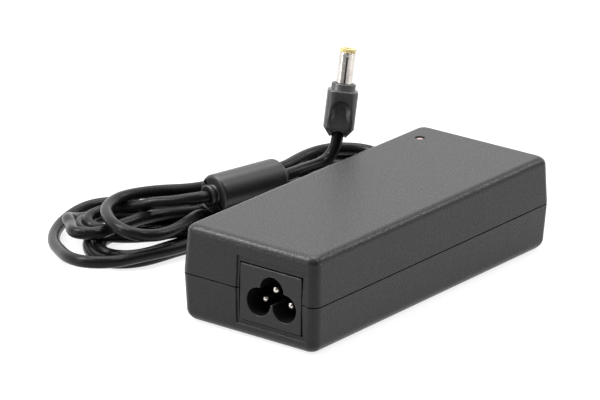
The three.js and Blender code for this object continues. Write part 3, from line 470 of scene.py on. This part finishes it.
SLOT_LOOKS = {
    "case": CASE_PLASTIC,
    "inlet": INLET_PLASTIC,
    "lamp_lens": LAMP_PLASTIC,
    "label": foil_label(),
    "nickel": NICKEL,
    "plug_tip": TIP_PLASTIC,
    "cord_rubber": LEAD_RUBBER,
    "tie": WOVEN_TAPE,
    "ferrite": moulded("ferrite", [0.045, 0.045, 0.048], 0.6, grain=0.0002, relief=0.00002),
    "shield": metal("tinned_sheet", [0.66, 0.67, 0.69], 0.38, brushed=(1, 0.08, 1)),
    "insulation": moulded("insulating_film", [0.7, 0.69, 0.62], 0.55, spread=0.06, relief=0.00001),
    "board": moulded("solder_resist", [0.03, 0.13, 0.05], 0.4, grain=0.0008, relief=0.00001),
    "fuse_glass": moulded("fuse_glass", [0.6, 0.58, 0.5], 0.12, spread=0.08, relief=0.000004),
    "yellow_film": moulded("yellow_film", [0.62, 0.42, 0.05], 0.45, spread=0.1),
    "winding": metal("enamelled_copper", [0.6, 0.28, 0.1], 0.35, brushed=(1, 1, 0.1), relief=0.00001),
    "epoxy": moulded("moulded_epoxy", [0.014, 0.014, 0.015], 0.5),
    "capacitor_sleeve": moulded("capacitor_sleeve", [0.012, 0.02, 0.07], 0.32, spread=0.15),
    "heat_sink": metal("heat_sink", [0.74, 0.75, 0.77], 0.42, brushed=(1, 0.05, 1)),
    "ceramic": moulded("dipped_ceramic", [0.04, 0.15, 0.4], 0.4, spread=0.1),
    "red_wire": moulded("red_wire", [0.35, 0.02, 0.016], 0.4, spread=0.1),
    "black_wire": moulded("black_wire", [0.012, 0.012, 0.012], 0.4),
}


def dress_cad_nodes():
    """Gives every CAD node its slot's material; the nodes that a piece stands for aren't shown."""
    for part in frame["record"]["subparts"]:
        node = frame["nodes"][part["node"]]
        look = SLOT_LOOKS[part["material_slot"]]
        node.data.materials.clear()
        node.data.materials.append(look)


dress_cad_nodes()

# ---------------------------------------------------------------- mesh building blocks

CORNER_STEPS = 10
ROUND_STEPS = 8


def rounded_rectangle(half_x, half_y, radius, steps=CORNER_STEPS):
    """The corners of a rounded rectangle, anticlockwise, as (x, y) pairs."""
    points = []
    for quarter, (across, along) in enumerate(((1, 1), (-1, 1), (-1, -1), (1, -1))):
        for step in range(steps + 1):
            angle = (quarter + step / steps) * math.pi / 2
            x = across * (half_x - radius) + radius * math.cos(angle)
            y = along * (half_y - radius) + radius * math.sin(angle)
            points.append((x, y))
    return points


def oval(half_x, half_y, radius, count):
    """A rounded rectangle as count points at equal angles round its middle."""
    points = []
    for i in range(count):
        angle = 2 * math.pi * (i + 0.5) / count
        c, s = math.cos(angle), math.sin(angle)
        reach = min(half_x / max(abs(c), 1e-9), half_y / max(abs(s), 1e-9))
        corner = Vector((math.copysign(half_x - radius, c), math.copysign(half_y - radius, s)))
        if abs(reach * c) > half_x - radius and abs(reach * s) > half_y - radius:
            along = corner.x * c + corner.y * s
            reach = along + math.sqrt(max(radius**2 - corner.length_squared + along**2, 0))
        points.append((reach * c, reach * s))
    return points


def circle(radius, z, sides):
    return [Vector((radius * math.cos(a), radius * math.sin(a), z)) for a in turn(sides)]


def turn(sides):
    return [2 * math.pi * (i + 0.5) / sides for i in range(sides)]


def quarter_turn(steps):
    """Angles from 0 to a right angle."""
    return [step / steps * math.pi / 2 for step in range(steps + 1)]


def smooth(low, high, value):
    """0 below low, 1 above high and a soft slope between them; low may be the larger."""
    share = min(max((value - low) / (high - low), 0), 1)
    return share * share * (3 - 2 * share)


def loft(rings, joined=False):
    """A skin through rings of equally many points, with closed ends or joined round from last to first."""
    shape = bmesh.new()
    rows = [[shape.verts.new(point) for point in ring] for ring in rings]
    following = rows[1:] + rows[:1] if joined else rows[1:]
    for row, above in zip(rows, following):
        for i, vertex in enumerate(row):
            j = (i + 1) % len(row)
            shape.faces.new((vertex, row[j], above[j], above[i]))
    if not joined:
        shape.faces.new(rows[0][::-1])
        shape.faces.new(rows[-1])
    bmesh.ops.recalc_face_normals(shape, faces=shape.faces)
    return shape


def lathe(profile, sides=64, joined=False):
    """A solid of revolution about Z from (radius, height) pairs."""
    return loft([circle(radius, z, sides) for radius, z in profile], joined)


def prism(outline, low, high, axis="z"):
    """A solid with that outline between two places along an axis; along x it is drawn in y and z."""
    corner = {
        "x": lambda u, v, w: Vector((w, u, v)),
        "y": lambda u, v, w: Vector((u, w, v)),
        "z": lambda u, v, w: Vector((u, v, w)),
    }[axis]
    return loft([[corner(u, v, w) for u, v in outline] for w in (low, high)])


def block(low, high):
    corners = [(low[0], low[1]), (high[0], low[1]), (high[0], high[1]), (low[0], high[1])]
    return prism(corners, low[2], high[2])


def disc(middle, radius, low, high, axis, sides=48):
    """A cylinder's solid along an axis; middle is its place on the other two axes."""
    outline = [(middle[0] + radius * math.cos(a), middle[1] + radius * math.sin(a)) for a in turn(sides)]
    return prism(outline, low, high, axis)


def object_of(name, shape, place=Matrix.Identity(4)):
    shape.transform(place)
    mesh = bpy.data.meshes.new(name)
    shape.to_mesh(mesh)
    shape.free()
    made = bpy.data.objects.new(name, mesh)
    bpy.context.collection.objects.link(made)
    return made


def apply_modifiers(piece):
    view = bpy.context.evaluated_depsgraph_get()
    mesh = bpy.data.meshes.new_from_object(piece.evaluated_get(view))
    piece.modifiers.clear()
    piece.data = mesh


def carve(piece, shapes, place=Matrix.Identity(4), join=False):
    """Cuts the shapes out of the piece, or joins them to it."""
    tools = [object_of("tool", shape, place) for shape in shapes]
    for tool in tools:
        modifier = piece.modifiers.new("carve", "BOOLEAN")
        modifier.operation = "UNION" if join else "DIFFERENCE"
        modifier.solver = "EXACT"
        modifier.object = tool
    apply_modifiers(piece)
    for tool in tools:
        bpy.data.objects.remove(tool)


def soften(piece, width=0.0, sharp=40, segments=2):
    """Rounds the piece's sharp edges and shades it smooth, with flat faces left flat."""
    angle = math.radians(sharp)
    if width:
        bevel = piece.modifiers.new("edges", "BEVEL")
        bevel.width = width
        bevel.segments = segments
        bevel.limit_method = "ANGLE"
        bevel.angle_limit = angle
        bevel.use_clamp_overlap = False
        apply_modifiers(piece)
    piece.data.shade_smooth()
    piece.data.set_sharp_from_angle(angle=angle)
    normals = piece.modifiers.new("normals", "WEIGHTED_NORMAL")
    normals.keep_sharp = True
    apply_modifiers(piece)


def settle(piece, look, slot_name, *nodes):
    """Gives a finished piece its material and body, and hides the CAD nodes that it stands for."""
    piece.data.materials.clear()
    piece.data.materials.append(look)
    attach(piece, "root")
    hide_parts(*nodes)
    return piece


# ---------------------------------------------------------------- the lead


def knot_slopes(points):
    """The slope at each knot of the smoothest cubic curve through the points, and the knots' spans."""
    spans = [(after - before).length for before, after in zip(points, points[1:])]
    climbs = [3 * (after - before) / span**2 for before, after, span in zip(points, points[1:], spans)]
    # The curve bends alike on both sides of a knot: one equation a knot, solved forwards, then backwards.
    weights = [2 / spans[0]]
    sums = [climbs[0]]
    for i in range(1, len(points)):
        last = i == len(points) - 1
        weight = 2 / spans[i - 1] + (0 if last else 2 / spans[i])
        total = climbs[i - 1] + (Vector() if last else climbs[i])
        share = 1 / spans[i - 1] / weights[-1]
        weights.append(weight - share / spans[i - 1])
        sums.append(total - sums[-1] * share)
    slopes = [sums[-1] / weights[-1]]
    for i in range(len(points) - 2, -1, -1):
        slopes.append((sums[i] - slopes[-1] / spans[i]) / weights[i])
    return slopes[::-1], spans


def lead_piece():
    """The lead, as one smooth curve through its route."""
    curve = bpy.data.curves.new("lead", "CURVE")
    curve.dimensions = "3D"
    curve.bevel_depth = LEAD / 2
    curve.bevel_resolution = 6
    curve.resolution_u = 8
    curve.use_fill_caps = True
    spline = curve.splines.new("BEZIER")
    points = [*ROUTE, ROUTE[-1] + PLUG_AXIS * IN_PLUG]
    spline.bezier_points.add(len(points) - 1)
    slopes, spans = knot_slopes(points)
    knots = zip(spline.bezier_points, points, slopes, [0, *spans], [*spans, 0])
    for knot, point, slope, before, after in knots:
        knot.handle_left_type = knot.handle_right_type = "FREE"
        knot.co = point
        knot.handle_left = point - slope * before / 3
        knot.handle_right = point + slope * after / 3
    piece = bpy.data.objects.new("lead", curve)
    bpy.context.collection.objects.link(piece)
    return settle(piece, LEAD_RUBBER, "cord_rubber", "lead_from_case", "lead_hank", "lead_to_plug")


lead = lead_piece()

# ---------------------------------------------------------------- case


def case_ring(z, inset=0.0, rounding=0.0):
    """The case's outline at a height, moved in by an inset."""
    move = inset + rounding + CASE_DRAFT * abs(z - SEAM) / SEAM
    radius = max(CASE_CORNER - inset - rounding / 2, 0.0008)
    outline = rounded_rectangle(CASE_HIGH.x - move, CASE_HIGH.y - move, radius)
    return [Vector((x, y, z)) for x, y in outline]


def case_round(edge, inward, radius):
    """The rings of the case's rounded top or bottom edge, from the edge's flat face to the wall."""
    angles = quarter_turn(ROUND_STEPS)
    rings = []
    for angle in angles:
        height = edge + inward * radius * (1 - math.cos(angle))
        rings.append(case_ring(height, rounding=radius * (1 - math.sin(angle))))
    return rings


def front_wall(z):
    """Where the front wall's outside is at a height."""
    return CASE_LOW.y + CASE_DRAFT * abs(z - SEAM) / SEAM


def inlet_cuts():
    """The opening for the inlet, and the shallow step round it, which follows the wall's lean."""
    low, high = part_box("inlet_body")
    outside = CASE_LOW.y - 0.005
    hole = block((low.x - GAP, outside, low.z - GAP), (high.x + GAP, high.y + GAP, high.z + GAP))
    bottom, top = low.z - STEP_BELOW, high.z + STEP_ABOVE
    profile = [(outside, bottom), (outside, top), (front_wall(top) + STEP_DEPTH, top)]
    profile += [(front_wall(SEAM) + STEP_DEPTH, SEAM), (front_wall(bottom) + STEP_DEPTH, bottom)]
    return [hole, prism(profile, low.x - STEP_LEFT, high.x + STEP_RIGHT, "x")]


def inside_of_case(low, high):
    return loft([case_ring(low, CASE_WALL), case_ring(high, CASE_WALL)])


def relief_hole():
    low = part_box("strain_relief")[0]
    return disc((0, SEAM), RELIEF_HOLE, low.y, CASE_HIGH.y + PAST, "y")


def upper_shell():
    rings = [case_ring(SEAM + GAP / 2), *reversed(case_round(CASE_HEIGHT, -1, TOP_ROUND))]
    piece = object_of("case_lid", loft(rings))
    low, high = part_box("lamp_lens")
    middle = (low + high) / 2
    lamp_hole = disc(middle.xy, LAMP_HOLE, SEAM, CASE_HEIGHT + PAST, "z")
    inside = inside_of_case(SEAM - PAST, CASE_HEIGHT - CASE_WALL)
    carve(piece, [inside, *inlet_cuts(), lamp_hole, relief_hole()])
    soften(piece, CASE_EDGE)
    return settle(piece, CASE_PLASTIC, "case", "upper_shell")


def lower_shell():
    """The lower shell, with the lip along its rim that centres the lid, and the recess for the label."""
    rings = [*case_round(0, 1, BOTTOM_ROUND), case_ring(SEAM - GAP / 2)]
    piece = object_of("case_base", loft(rings))
    label_low, label_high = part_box("rating_label")
    margin = Vector((GAP, GAP, 0))
    recess = block(label_low - margin - Vector((0, 0, PAST)), label_high + margin + Vector((0, 0, GAP)))
    carve(piece, [inside_of_case(CASE_WALL, SEAM + PAST), recess])
    outer = [case_ring(z, CASE_WALL - 0.0001) for z in (SEAM - 0.002, SEAM - 0.0005)]
    lip = [case_ring(z, CASE_WALL + GAP) for z in (SEAM - 0.0004, SEAM + 0.0014)]
    inner = [case_ring(z, CASE_WALL + GAP + 0.001) for z in (SEAM + 0.0014, SEAM - 0.002)]
    carve(piece, [loft([*outer, *lip, *inner], joined=True)], join=True)
    carve(piece, [*inlet_cuts(), relief_hole()])
    soften(piece, CASE_EDGE)
    return settle(piece, CASE_PLASTIC, "case", "lower_shell")


def lamp_lens():
    """The lens: a short rod with a domed top in the lid's hole."""
    low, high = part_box("lamp_lens")
    middle = (low + high) / 2
    flange, radius, dome = (high.x - low.x) / 2, LAMP_RADIUS, 0.0005
    angles = quarter_turn(6)
    top = [(radius * math.cos(a) + 0.00001, high.z - dome + dome * math.sin(a)) for a in angles]
    profile = [(flange, low.z), (flange, low.z + 0.0012), (radius, low.z + 0.0012), *top]
    piece = object_of("lamp_window", lathe(profile, 48), Matrix.Translation((middle.x, middle.y, 0)))
    soften(piece)
    return settle(piece, LAMP_PLASTIC, "lamp_lens", "lamp_lens")


upper_shell()
lower_shell()
lamp_lens()

# ---------------------------------------------------------------- mains inlet

PINS = ("inlet_pin_line", "inlet_pin_neutral", "inlet_pin_earth")


def pin_middle(name):
    low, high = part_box(name)
    return (low.x + high.x) / 2, (low.z + high.z) / 2


def inlet_body():
    """The inlet's plate and the housing behind it, with three joined lobes and a bore for each pin."""
    low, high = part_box("inlet_body")
    half_x, half_z = (high.x - low.x) / 2, (high.z - low.z) / 2
    middle_x, middle_z = (high.x + low.x) / 2, (high.z + low.z) / 2
    plate = [(middle_x + x, middle_z + z) for x, z in rounded_rectangle(half_x, half_z, 0.0005, 4)]
    piece = object_of("mains_inlet", prism(plate, low.y, low.y + 0.002, "y"))
    inset = INLET_INSET
    housing = block((low.x + inset, low.y + 0.001, low.z + inset), (high.x - inset, high.y, high.z - inset))
    carve(piece, [housing], join=True)
    floor = low.y + LOBE_DEPTH
    lobes = [disc(pin_middle(pin), LOBE_RADIUS, low.y - PAST, floor, "y", 64) for pin in PINS]
    bores = [disc(pin_middle(pin), PIN_BORE, floor - PAST, high.y + PAST, "y", 32) for pin in PINS]
    carve(piece, [*lobes, *bores])
    soften(piece, 0.0003, segments=3)
    return settle(piece, INLET_PLASTIC, "inlet", "inlet_body")


def inlet_pin(name):
    """A round pin with a domed tip."""
    low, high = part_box(name)
    x, z = pin_middle(name)
    radius = (high.x - low.x) / 2
    angles = quarter_turn(6)
    tip = [(radius * math.sin(a) + 0.00001, -radius * math.cos(a)) for a in angles]
    profile = [(r, low.y + radius + along) for r, along in tip] + [(radius, high.y - 0.003), (0.0006, high.y)]
    laid = Matrix.Translation((x, 0, z)) @ Matrix.Rotation(-math.pi / 2, 4, "X")
    piece = object_of("prong_" + name.removeprefix("inlet_pin_"), lathe(profile, 40), laid)
    soften(piece)
    return settle(piece, NICKEL, "nickel", name)


inlet_body()
for pin in PINS:
    inlet_pin(pin)

# ---------------------------------------------------------------- strain relief

RIB_PLACES = (0.0042, 0.0076, 0.011, 0.0144)  # along the strain relief, from the case
# A rib and the groove after it: how far out from the taper, and how far along.
RIB = [(0, -0.0001), (0, 0), (-0.0007, 0.0004), (-0.0008, 0.0011), (-0.0002, 0.0015), (-0.0001, 0.0017)]


def strain_relief():
    """The moulded strain relief: a collar at the wall, and a ribbed taper that ends in a lip."""
    length, wall, end = 0.0208, 0.0046, 0.0031
    ribs = []
    for at in RIB_PLACES:
        radius = wall + 0.0003 + (end - wall) * at / length
        ribs += [(radius + out, at + along) for out, along in RIB]
    profile = [
        (0.002, -0.0055),
        (0.0056, -0.0055),
        (0.0056, -0.0026),
        (wall, -0.0024),
        (wall, 0.0003),
        (0.0061, 0.0003),
        (0.0062, 0.0006),
        (0.0062, 0.0014),
        (0.0059, 0.0018),
        (wall + 0.0008, 0.0024),
        *ribs,
        (end + 0.0001, length - 0.0006),
        (end - 0.0002, length),
        (0.0022, length),
        (0.002, length - 0.0005),
    ]
    upright = Matrix.Translation((0, CASE_HIGH.y, SEAM)) @ Matrix.Rotation(-math.pi / 2, 4, "X")
    piece = object_of("cord_grip", lathe(profile, 64, joined=True), upright)
    soften(piece, sharp=50)
    return settle(piece, LEAD_RUBBER, "cord_rubber", "strain_relief")


relief = strain_relief()

# ---------------------------------------------------------------- tie

TIE_UNEVEN = 0.00012  # how far the band's top rises and falls along the hank
TIE_WAVES = 900  # radians in a metre


def cable_tie():
    """A woven band round the hank's waist, a little uneven on top."""
    low_y, high_y = 0.0005, 0.01
    left, right, top = -0.0172, 0.0154, 0.0094
    thickness, round_radius = 0.0008, 0.003
    middle_x, middle_z = (left + right) / 2, top / 2
    half_x, half_z = (right - left) / 2, top / 2

    def level(y, inset, outset):
        sizes = [size - inset + outset for size in (half_x, half_z, round_radius)]
        grown = rounded_rectangle(*sizes, 8)
        wave = TIE_UNEVEN * math.sin(y * TIE_WAVES)
        return [Vector((middle_x + x, y, max(middle_z + z + wave * (z > 0), 0.0001))) for x, z in grown]

    rows = 9
    places = [low_y + (high_y - low_y) * i / (rows - 1) for i in range(rows)]
    outer = [level(y, 0, -0.0002 if i in (0, rows - 1) else 0) for i, y in enumerate(places)]
    inner = [level(y, thickness, 0) for y in reversed(places)]
    piece = object_of("hank_tie", loft([*outer, *inner], joined=True), HANK)
    soften(piece, sharp=60)
    return settle(piece, WOVEN_TAPE, "tie", "cable_tie")


tie = cable_tie()

# ---------------------------------------------------------------- choke

SLOT_REACH = (0.0038, 0.0059)  # a slot's ends, from the sleeve's axis
SLOT_HALF_WIDTH = 0.0006
SLOT_DEPTH = 0.001
SLOT_TURN = math.radians(40)


def choke_slots():
    """The tools for two slots across each end of the sleeve."""
    slots = []
    for end in (0, CHOKE_LENGTH):
        for side in (-1, 1):
            near, far = sorted(side * reach for reach in SLOT_REACH)
            low = (near, -SLOT_HALF_WIDTH, end - SLOT_DEPTH)
            slots.append(block(low, (far, SLOT_HALF_WIDTH, end + SLOT_DEPTH)))
    return slots


def choke_sleeve():
    """The choke's moulded sleeve: a lipped boss at each end, and slots across its ends."""
    radius, length, boss, bore = CHOKE_RADIUS, CHOKE_LENGTH, CHOKE_BOSS, LEAD / 2 + 0.00005
    waist, lip = 0.003, 0.0036
    rounding = 0.0012
    angles = quarter_turn(6)
    shoulder = [(radius - rounding * (1 - math.sin(a)), rounding * (1 - math.cos(a))) for a in angles]
    near = [(bore, -boss + 0.0004), (bore + 0.0002, -boss), (lip - 0.0003, -boss), (lip, -boss + 0.0003)]
    near += [(lip, -boss + 0.0008), (waist + 0.0001, -boss + 0.0013), (waist, -0.0004), (waist + 0.0004, 0)]
    half = [*near, *shoulder]
    profile = [*half, *[(r, length - z) for r, z in reversed(half)]]
    place = HANK @ Matrix.Translation(CHOKE_PLACE) @ Matrix.Rotation(-math.pi / 2, 4, "X")
    piece = object_of("choke_cover", lathe(profile, 72, joined=True), place)
    carve(piece, choke_slots(), place @ Matrix.Rotation(SLOT_TURN, 4, "Z"))
    soften(piece, 0.0001)
    return settle(piece, CHOKE_RUBBER, "cord_rubber", "choke_sleeve")


choke = choke_sleeve()

# ---------------------------------------------------------------- plug

PLUG_TURN = Vector((0, 0, 1)).rotation_difference(PLUG_AXIS) @ Quaternion((0, 0, 1), PLUG_SPIN)
PLUG = Matrix.Translation(ROUTE[-1] + PLUG_AXIS * 0.0005) @ PLUG_TURN.to_matrix().to_4x4()
OVAL_SIDES = 144


def hollow_depth(x, z):
    """The depth of the hollow in the grip's broad faces: steep at its sides, and it runs out below."""
    top, floor_end = 0.0125, 0.0012
    half = 0.0036 + 0.0007 * smooth(0.0085, 0.0045, z)
    arch = half * math.sqrt(max(1 - max(0, (z - top + half) / half) ** 2, 0.0001))
    across = 1 - smooth(0.45 * arch, arch, abs(x))
    along = smooth(top, top - 0.0012, z) * smooth(floor_end, floor_end + 0.007, z)
    return HOLLOW_DEPTH * across * along


def grip_ring(z, inset):
    """The grip's section at a height, with the hollows pressed into its broad faces."""
    ring = []
    for x, y in oval(PLUG_HALF_WIDTH - inset, PLUG_HALF_DEPTH - inset, 0.003 - inset / 2, OVAL_SIDES):
        facing = smooth(0.6, 0.95, abs(y) / PLUG_HALF_DEPTH)
        ring.append(Vector((x, y - math.copysign(hollow_depth(x, z) * facing, y), z)))
    return ring


def plug_body():
    """The plug's moulded body: a ring round the lead, a sloping base, the grip and a round collar."""
    collar = PLUG_COLLAR
    throat = [(0.00203, 0.0026), (0.0023, 0.0026), (0.0024, 0.0002)]
    throat += [(0.0026, -0.0003), (0.0028, -0.0003), (PLUG_BASE, 0)]
    rings = [circle(radius, z, OVAL_SIDES) for radius, z in throat]
    for step in range(1, 6):
        share = step / 6
        z = PLUG_FLAT * share
        wide = PLUG_BASE + (PLUG_HALF_WIDTH - PLUG_BASE) * share
        deep = PLUG_BASE + (PLUG_HALF_DEPTH - PLUG_BASE) * share
        outline = oval(wide, deep, 0.0028 + 0.0002 * share, OVAL_SIDES)
        rings.append([Vector((x, y, z)) for x, y in outline])
    rows = 44
    top = PLUG_SHOULDER - 0.0005
    rings += [grip_ring(PLUG_FLAT + (top - PLUG_FLAT) * i / rows, 0) for i in range(rows + 1)]
    for a in (0.4, 0.8, 1.2, 1.57):
        rings.append(grip_ring(top + 0.0005 * math.sin(a), 0.0005 * (1 - math.cos(a))))
    mouth = [(collar + 0.0001, PLUG_SHOULDER), (collar, PLUG_SHOULDER + 0.0001)]
    mouth += [(collar, PLUG_LENGTH - 0.0003), (collar - 0.0003, PLUG_LENGTH)]
    mouth += [(BARREL_RADIUS + 0.0003, PLUG_LENGTH), (BARREL_RADIUS + 0.0001, PLUG_LENGTH - 0.0003)]
    mouth += [(BARREL_RADIUS + 0.0001, PLUG_LENGTH - 0.004)]
    rings += [circle(radius, z, OVAL_SIDES) for radius, z in mouth]
    piece = object_of("plug_grip", loft(rings, joined=True), PLUG)
    # The lead's mouth breaks through the sloping base at the front, in an arch.
    arch = [(0.00275, -0.003), (0.00275, 0.0022), (0.0025, 0.0033)]
    arch += [(0.0018, 0.0041), (0.0008, 0.0045), (0.00001, 0.0046)]
    leaning = PLUG @ Matrix.Translation((0, -0.0013, 0)) @ Matrix.Rotation(0.2, 4, "X")
    carve(piece, [lathe(arch, 40)], leaning)
    soften(piece, sharp=50)
    return settle(piece, PLUG_RUBBER, "cord_rubber", "plug_body")


def plug_barrel():
    """The barrel: a nickel-plated tube with a seam down one side and a small hole near its tip."""
    low, top = BARREL_FOOT, PLUG_LENGTH + BARREL_OUT - TIP_LAP
    profile = [(BARREL_BORE, low), (BARREL_RADIUS, low), (BARREL_RADIUS, top - 0.0003)]
    profile += [(BARREL_RADIUS - 0.0001, top - 0.0001), (BARREL_RADIUS - 0.0002, top), (BARREL_BORE, top)]
    piece = object_of("plug_sleeve", lathe(profile, 96, joined=True), PLUG)
    outside, inside = -BARREL_RADIUS - PAST, -0.0015
    seam = block((-0.0003, outside, PLUG_LENGTH + 0.0002), (0.0003, inside, top - 0.0022))
    hole = disc((0, top - 0.0018), 0.0004, outside, inside, "y", 24)
    carve(piece, [seam, hole], PLUG)
    soften(piece, 0.00005)
    return settle(piece, NICKEL, "nickel", "plug_barrel")


def plug_insulator():
    """The insulator between the barrel and the centre contact, with a rounded rim over the tip."""
    low, top = BARREL_FOOT, PLUG_LENGTH + BARREL_OUT + TIP_RISE
    bore, inner, rim = TIP_BORE, 0.0023, BARREL_RADIUS - 0.00005
    under = PLUG_LENGTH + BARREL_OUT - TIP_LAP + 0.00002
    profile = [(bore, low), (inner, low), (inner, under), (rim, under), (rim, top - 0.00035)]
    profile += [(rim - 0.0001, top - 0.00012), (rim - 0.00035, top)]
    profile += [(bore + 0.0002, top), (bore, top - 0.0002)]
    piece = object_of("plug_tip", lathe(profile, 64, joined=True), PLUG)
    soften(piece)
    settle(piece, TIP_PLASTIC, "plug_tip", "plug_insulator")
    # The faces below the barrel's end, its sleeve inside the barrel and its bore, take the black rubber:
    # painted shade, which makes the barrel's seam show as a dark line.
    piece.data.materials.append(PLUG_RUBBER)
    for face in piece.data.polygons:
        face.material_index = int((PLUG.inverted() @ face.center).z < under)
    return piece


def plug_contact():
    """The sprung tube in the middle."""
    low, top = BARREL_FOOT, PLUG_LENGTH + BARREL_OUT - 0.0004
    profile = [(0.00085, low), (0.00105, low), (0.00105, top - 0.0001), (0.00098, top), (0.00085, top)]
    piece = object_of("plug_socket", lathe(profile, 40, joined=True), PLUG)
    soften(piece)
    return settle(piece, NICKEL, "nickel", "plug_contact")


plug_pieces = [plug_body(), plug_barrel(), plug_insulator(), plug_contact()]

# ---------------------------------------------------------------- floor and light

FLOOR_HALF = 8.0
FLOOR_DROP = 0.00005  # below the surface that the object lies on
SOFTBOXES = [  # name, place, width and brightness
    ("overhead", (-0.35, 0.45, 1.5), 1.1, 6.0),
    ("key_low", (-0.9, -1.2, 0.54), 0.3, 4.0),
    ("key", (-1.0, -0.95, 0.9), 0.4, 8.0),
    ("key_high", (-0.9, -0.46, 1.2), 0.6, 18.0),
    ("spark_left", (-0.33, -0.68, 1.38), 0.22, 35.0),
    ("spark_right", (0.73, 0.25, 1.38), 0.26, 30.0),
    ("behind", (0.55, 1.2, 0.9), 0.4, 7.0),
    ("low_left", (-0.85, -1.05, 0.12), 0.2, 14.0),
    ("low_right", (1.3, 0.5, 0.12), 0.25, 24.0),
]


def add_floor():
    """A plain pale floor."""
    half = FLOOR_HALF
    shape = bmesh.new()
    corners = [(-half, -half), (half, -half), (half, half), (-half, half)]
    shape.faces.new([shape.verts.new((x, y, -FLOOR_DROP)) for x, y in corners])
    floor = object_of("floor", shape)
    material, shader = material_of("floor", 0.9, Emission_Color=(1, 1, 1, 1), Emission_Strength=0.82)
    tree = material.node_tree
    tone = ranged(tree, noise_in(tree, 0.6, detail=2), 0.3, 0.7, 0.0, 1.0)
    tree.links.new(mixed(tree, tone, [0.20, 0.20, 0.20], [0.22, 0.22, 0.22]), shader.inputs["Base Color"])
    floor.data.materials.append(material)


def add_sky():
    """Soft light from all round, paler behind the object than in front of it."""
    world = bpy.data.worlds.new("studio")
    world.use_nodes = True
    bpy.context.scene.world = world
    tree = world.node_tree
    tree.nodes.clear()
    direction = tree.nodes.new("ShaderNodeTexCoord")
    dot = tree.nodes.new("ShaderNodeVectorMath")
    dot.operation = "DOT_PRODUCT"
    dot.inputs[1].default_value = (-math.sin(CAMERA_AZIMUTH), math.cos(CAMERA_AZIMUTH), 0)
    light = tree.nodes.new("ShaderNodeBackground")
    output = tree.nodes.new("ShaderNodeOutputWorld")
    tree.links.new(direction.outputs["Generated"], dot.inputs[0])
    tree.links.new(ranged(tree, dot.outputs["Value"], -0.5, 0.9, 0.25, 1.5), light.inputs["Strength"])
    tree.links.new(light.outputs["Background"], output.inputs["Surface"])
    light.inputs["Color"].default_value = (1, 1, 1, 1)


def add_softbox(name, place, size, brightness):
    """A square soft light that looks at the object; its brightness is that of its face."""
    data = bpy.data.lights.new(name, "AREA")
    data.shape = "SQUARE"
    data.size = size
    data.energy = brightness * math.pi * size * size
    lamp = bpy.data.objects.new(name, data)
    bpy.context.collection.objects.link(lamp)
    lamp.location = place
    lamp.rotation_mode = "QUATERNION"
    lamp.rotation_quaternion = Vector(place).to_track_quat("Z", "Y")


add_floor()
add_sky()
for softbox in SOFTBOXES:
    add_softbox(*softbox)
bpy.context.scene.view_settings.view_transform = "Standard"
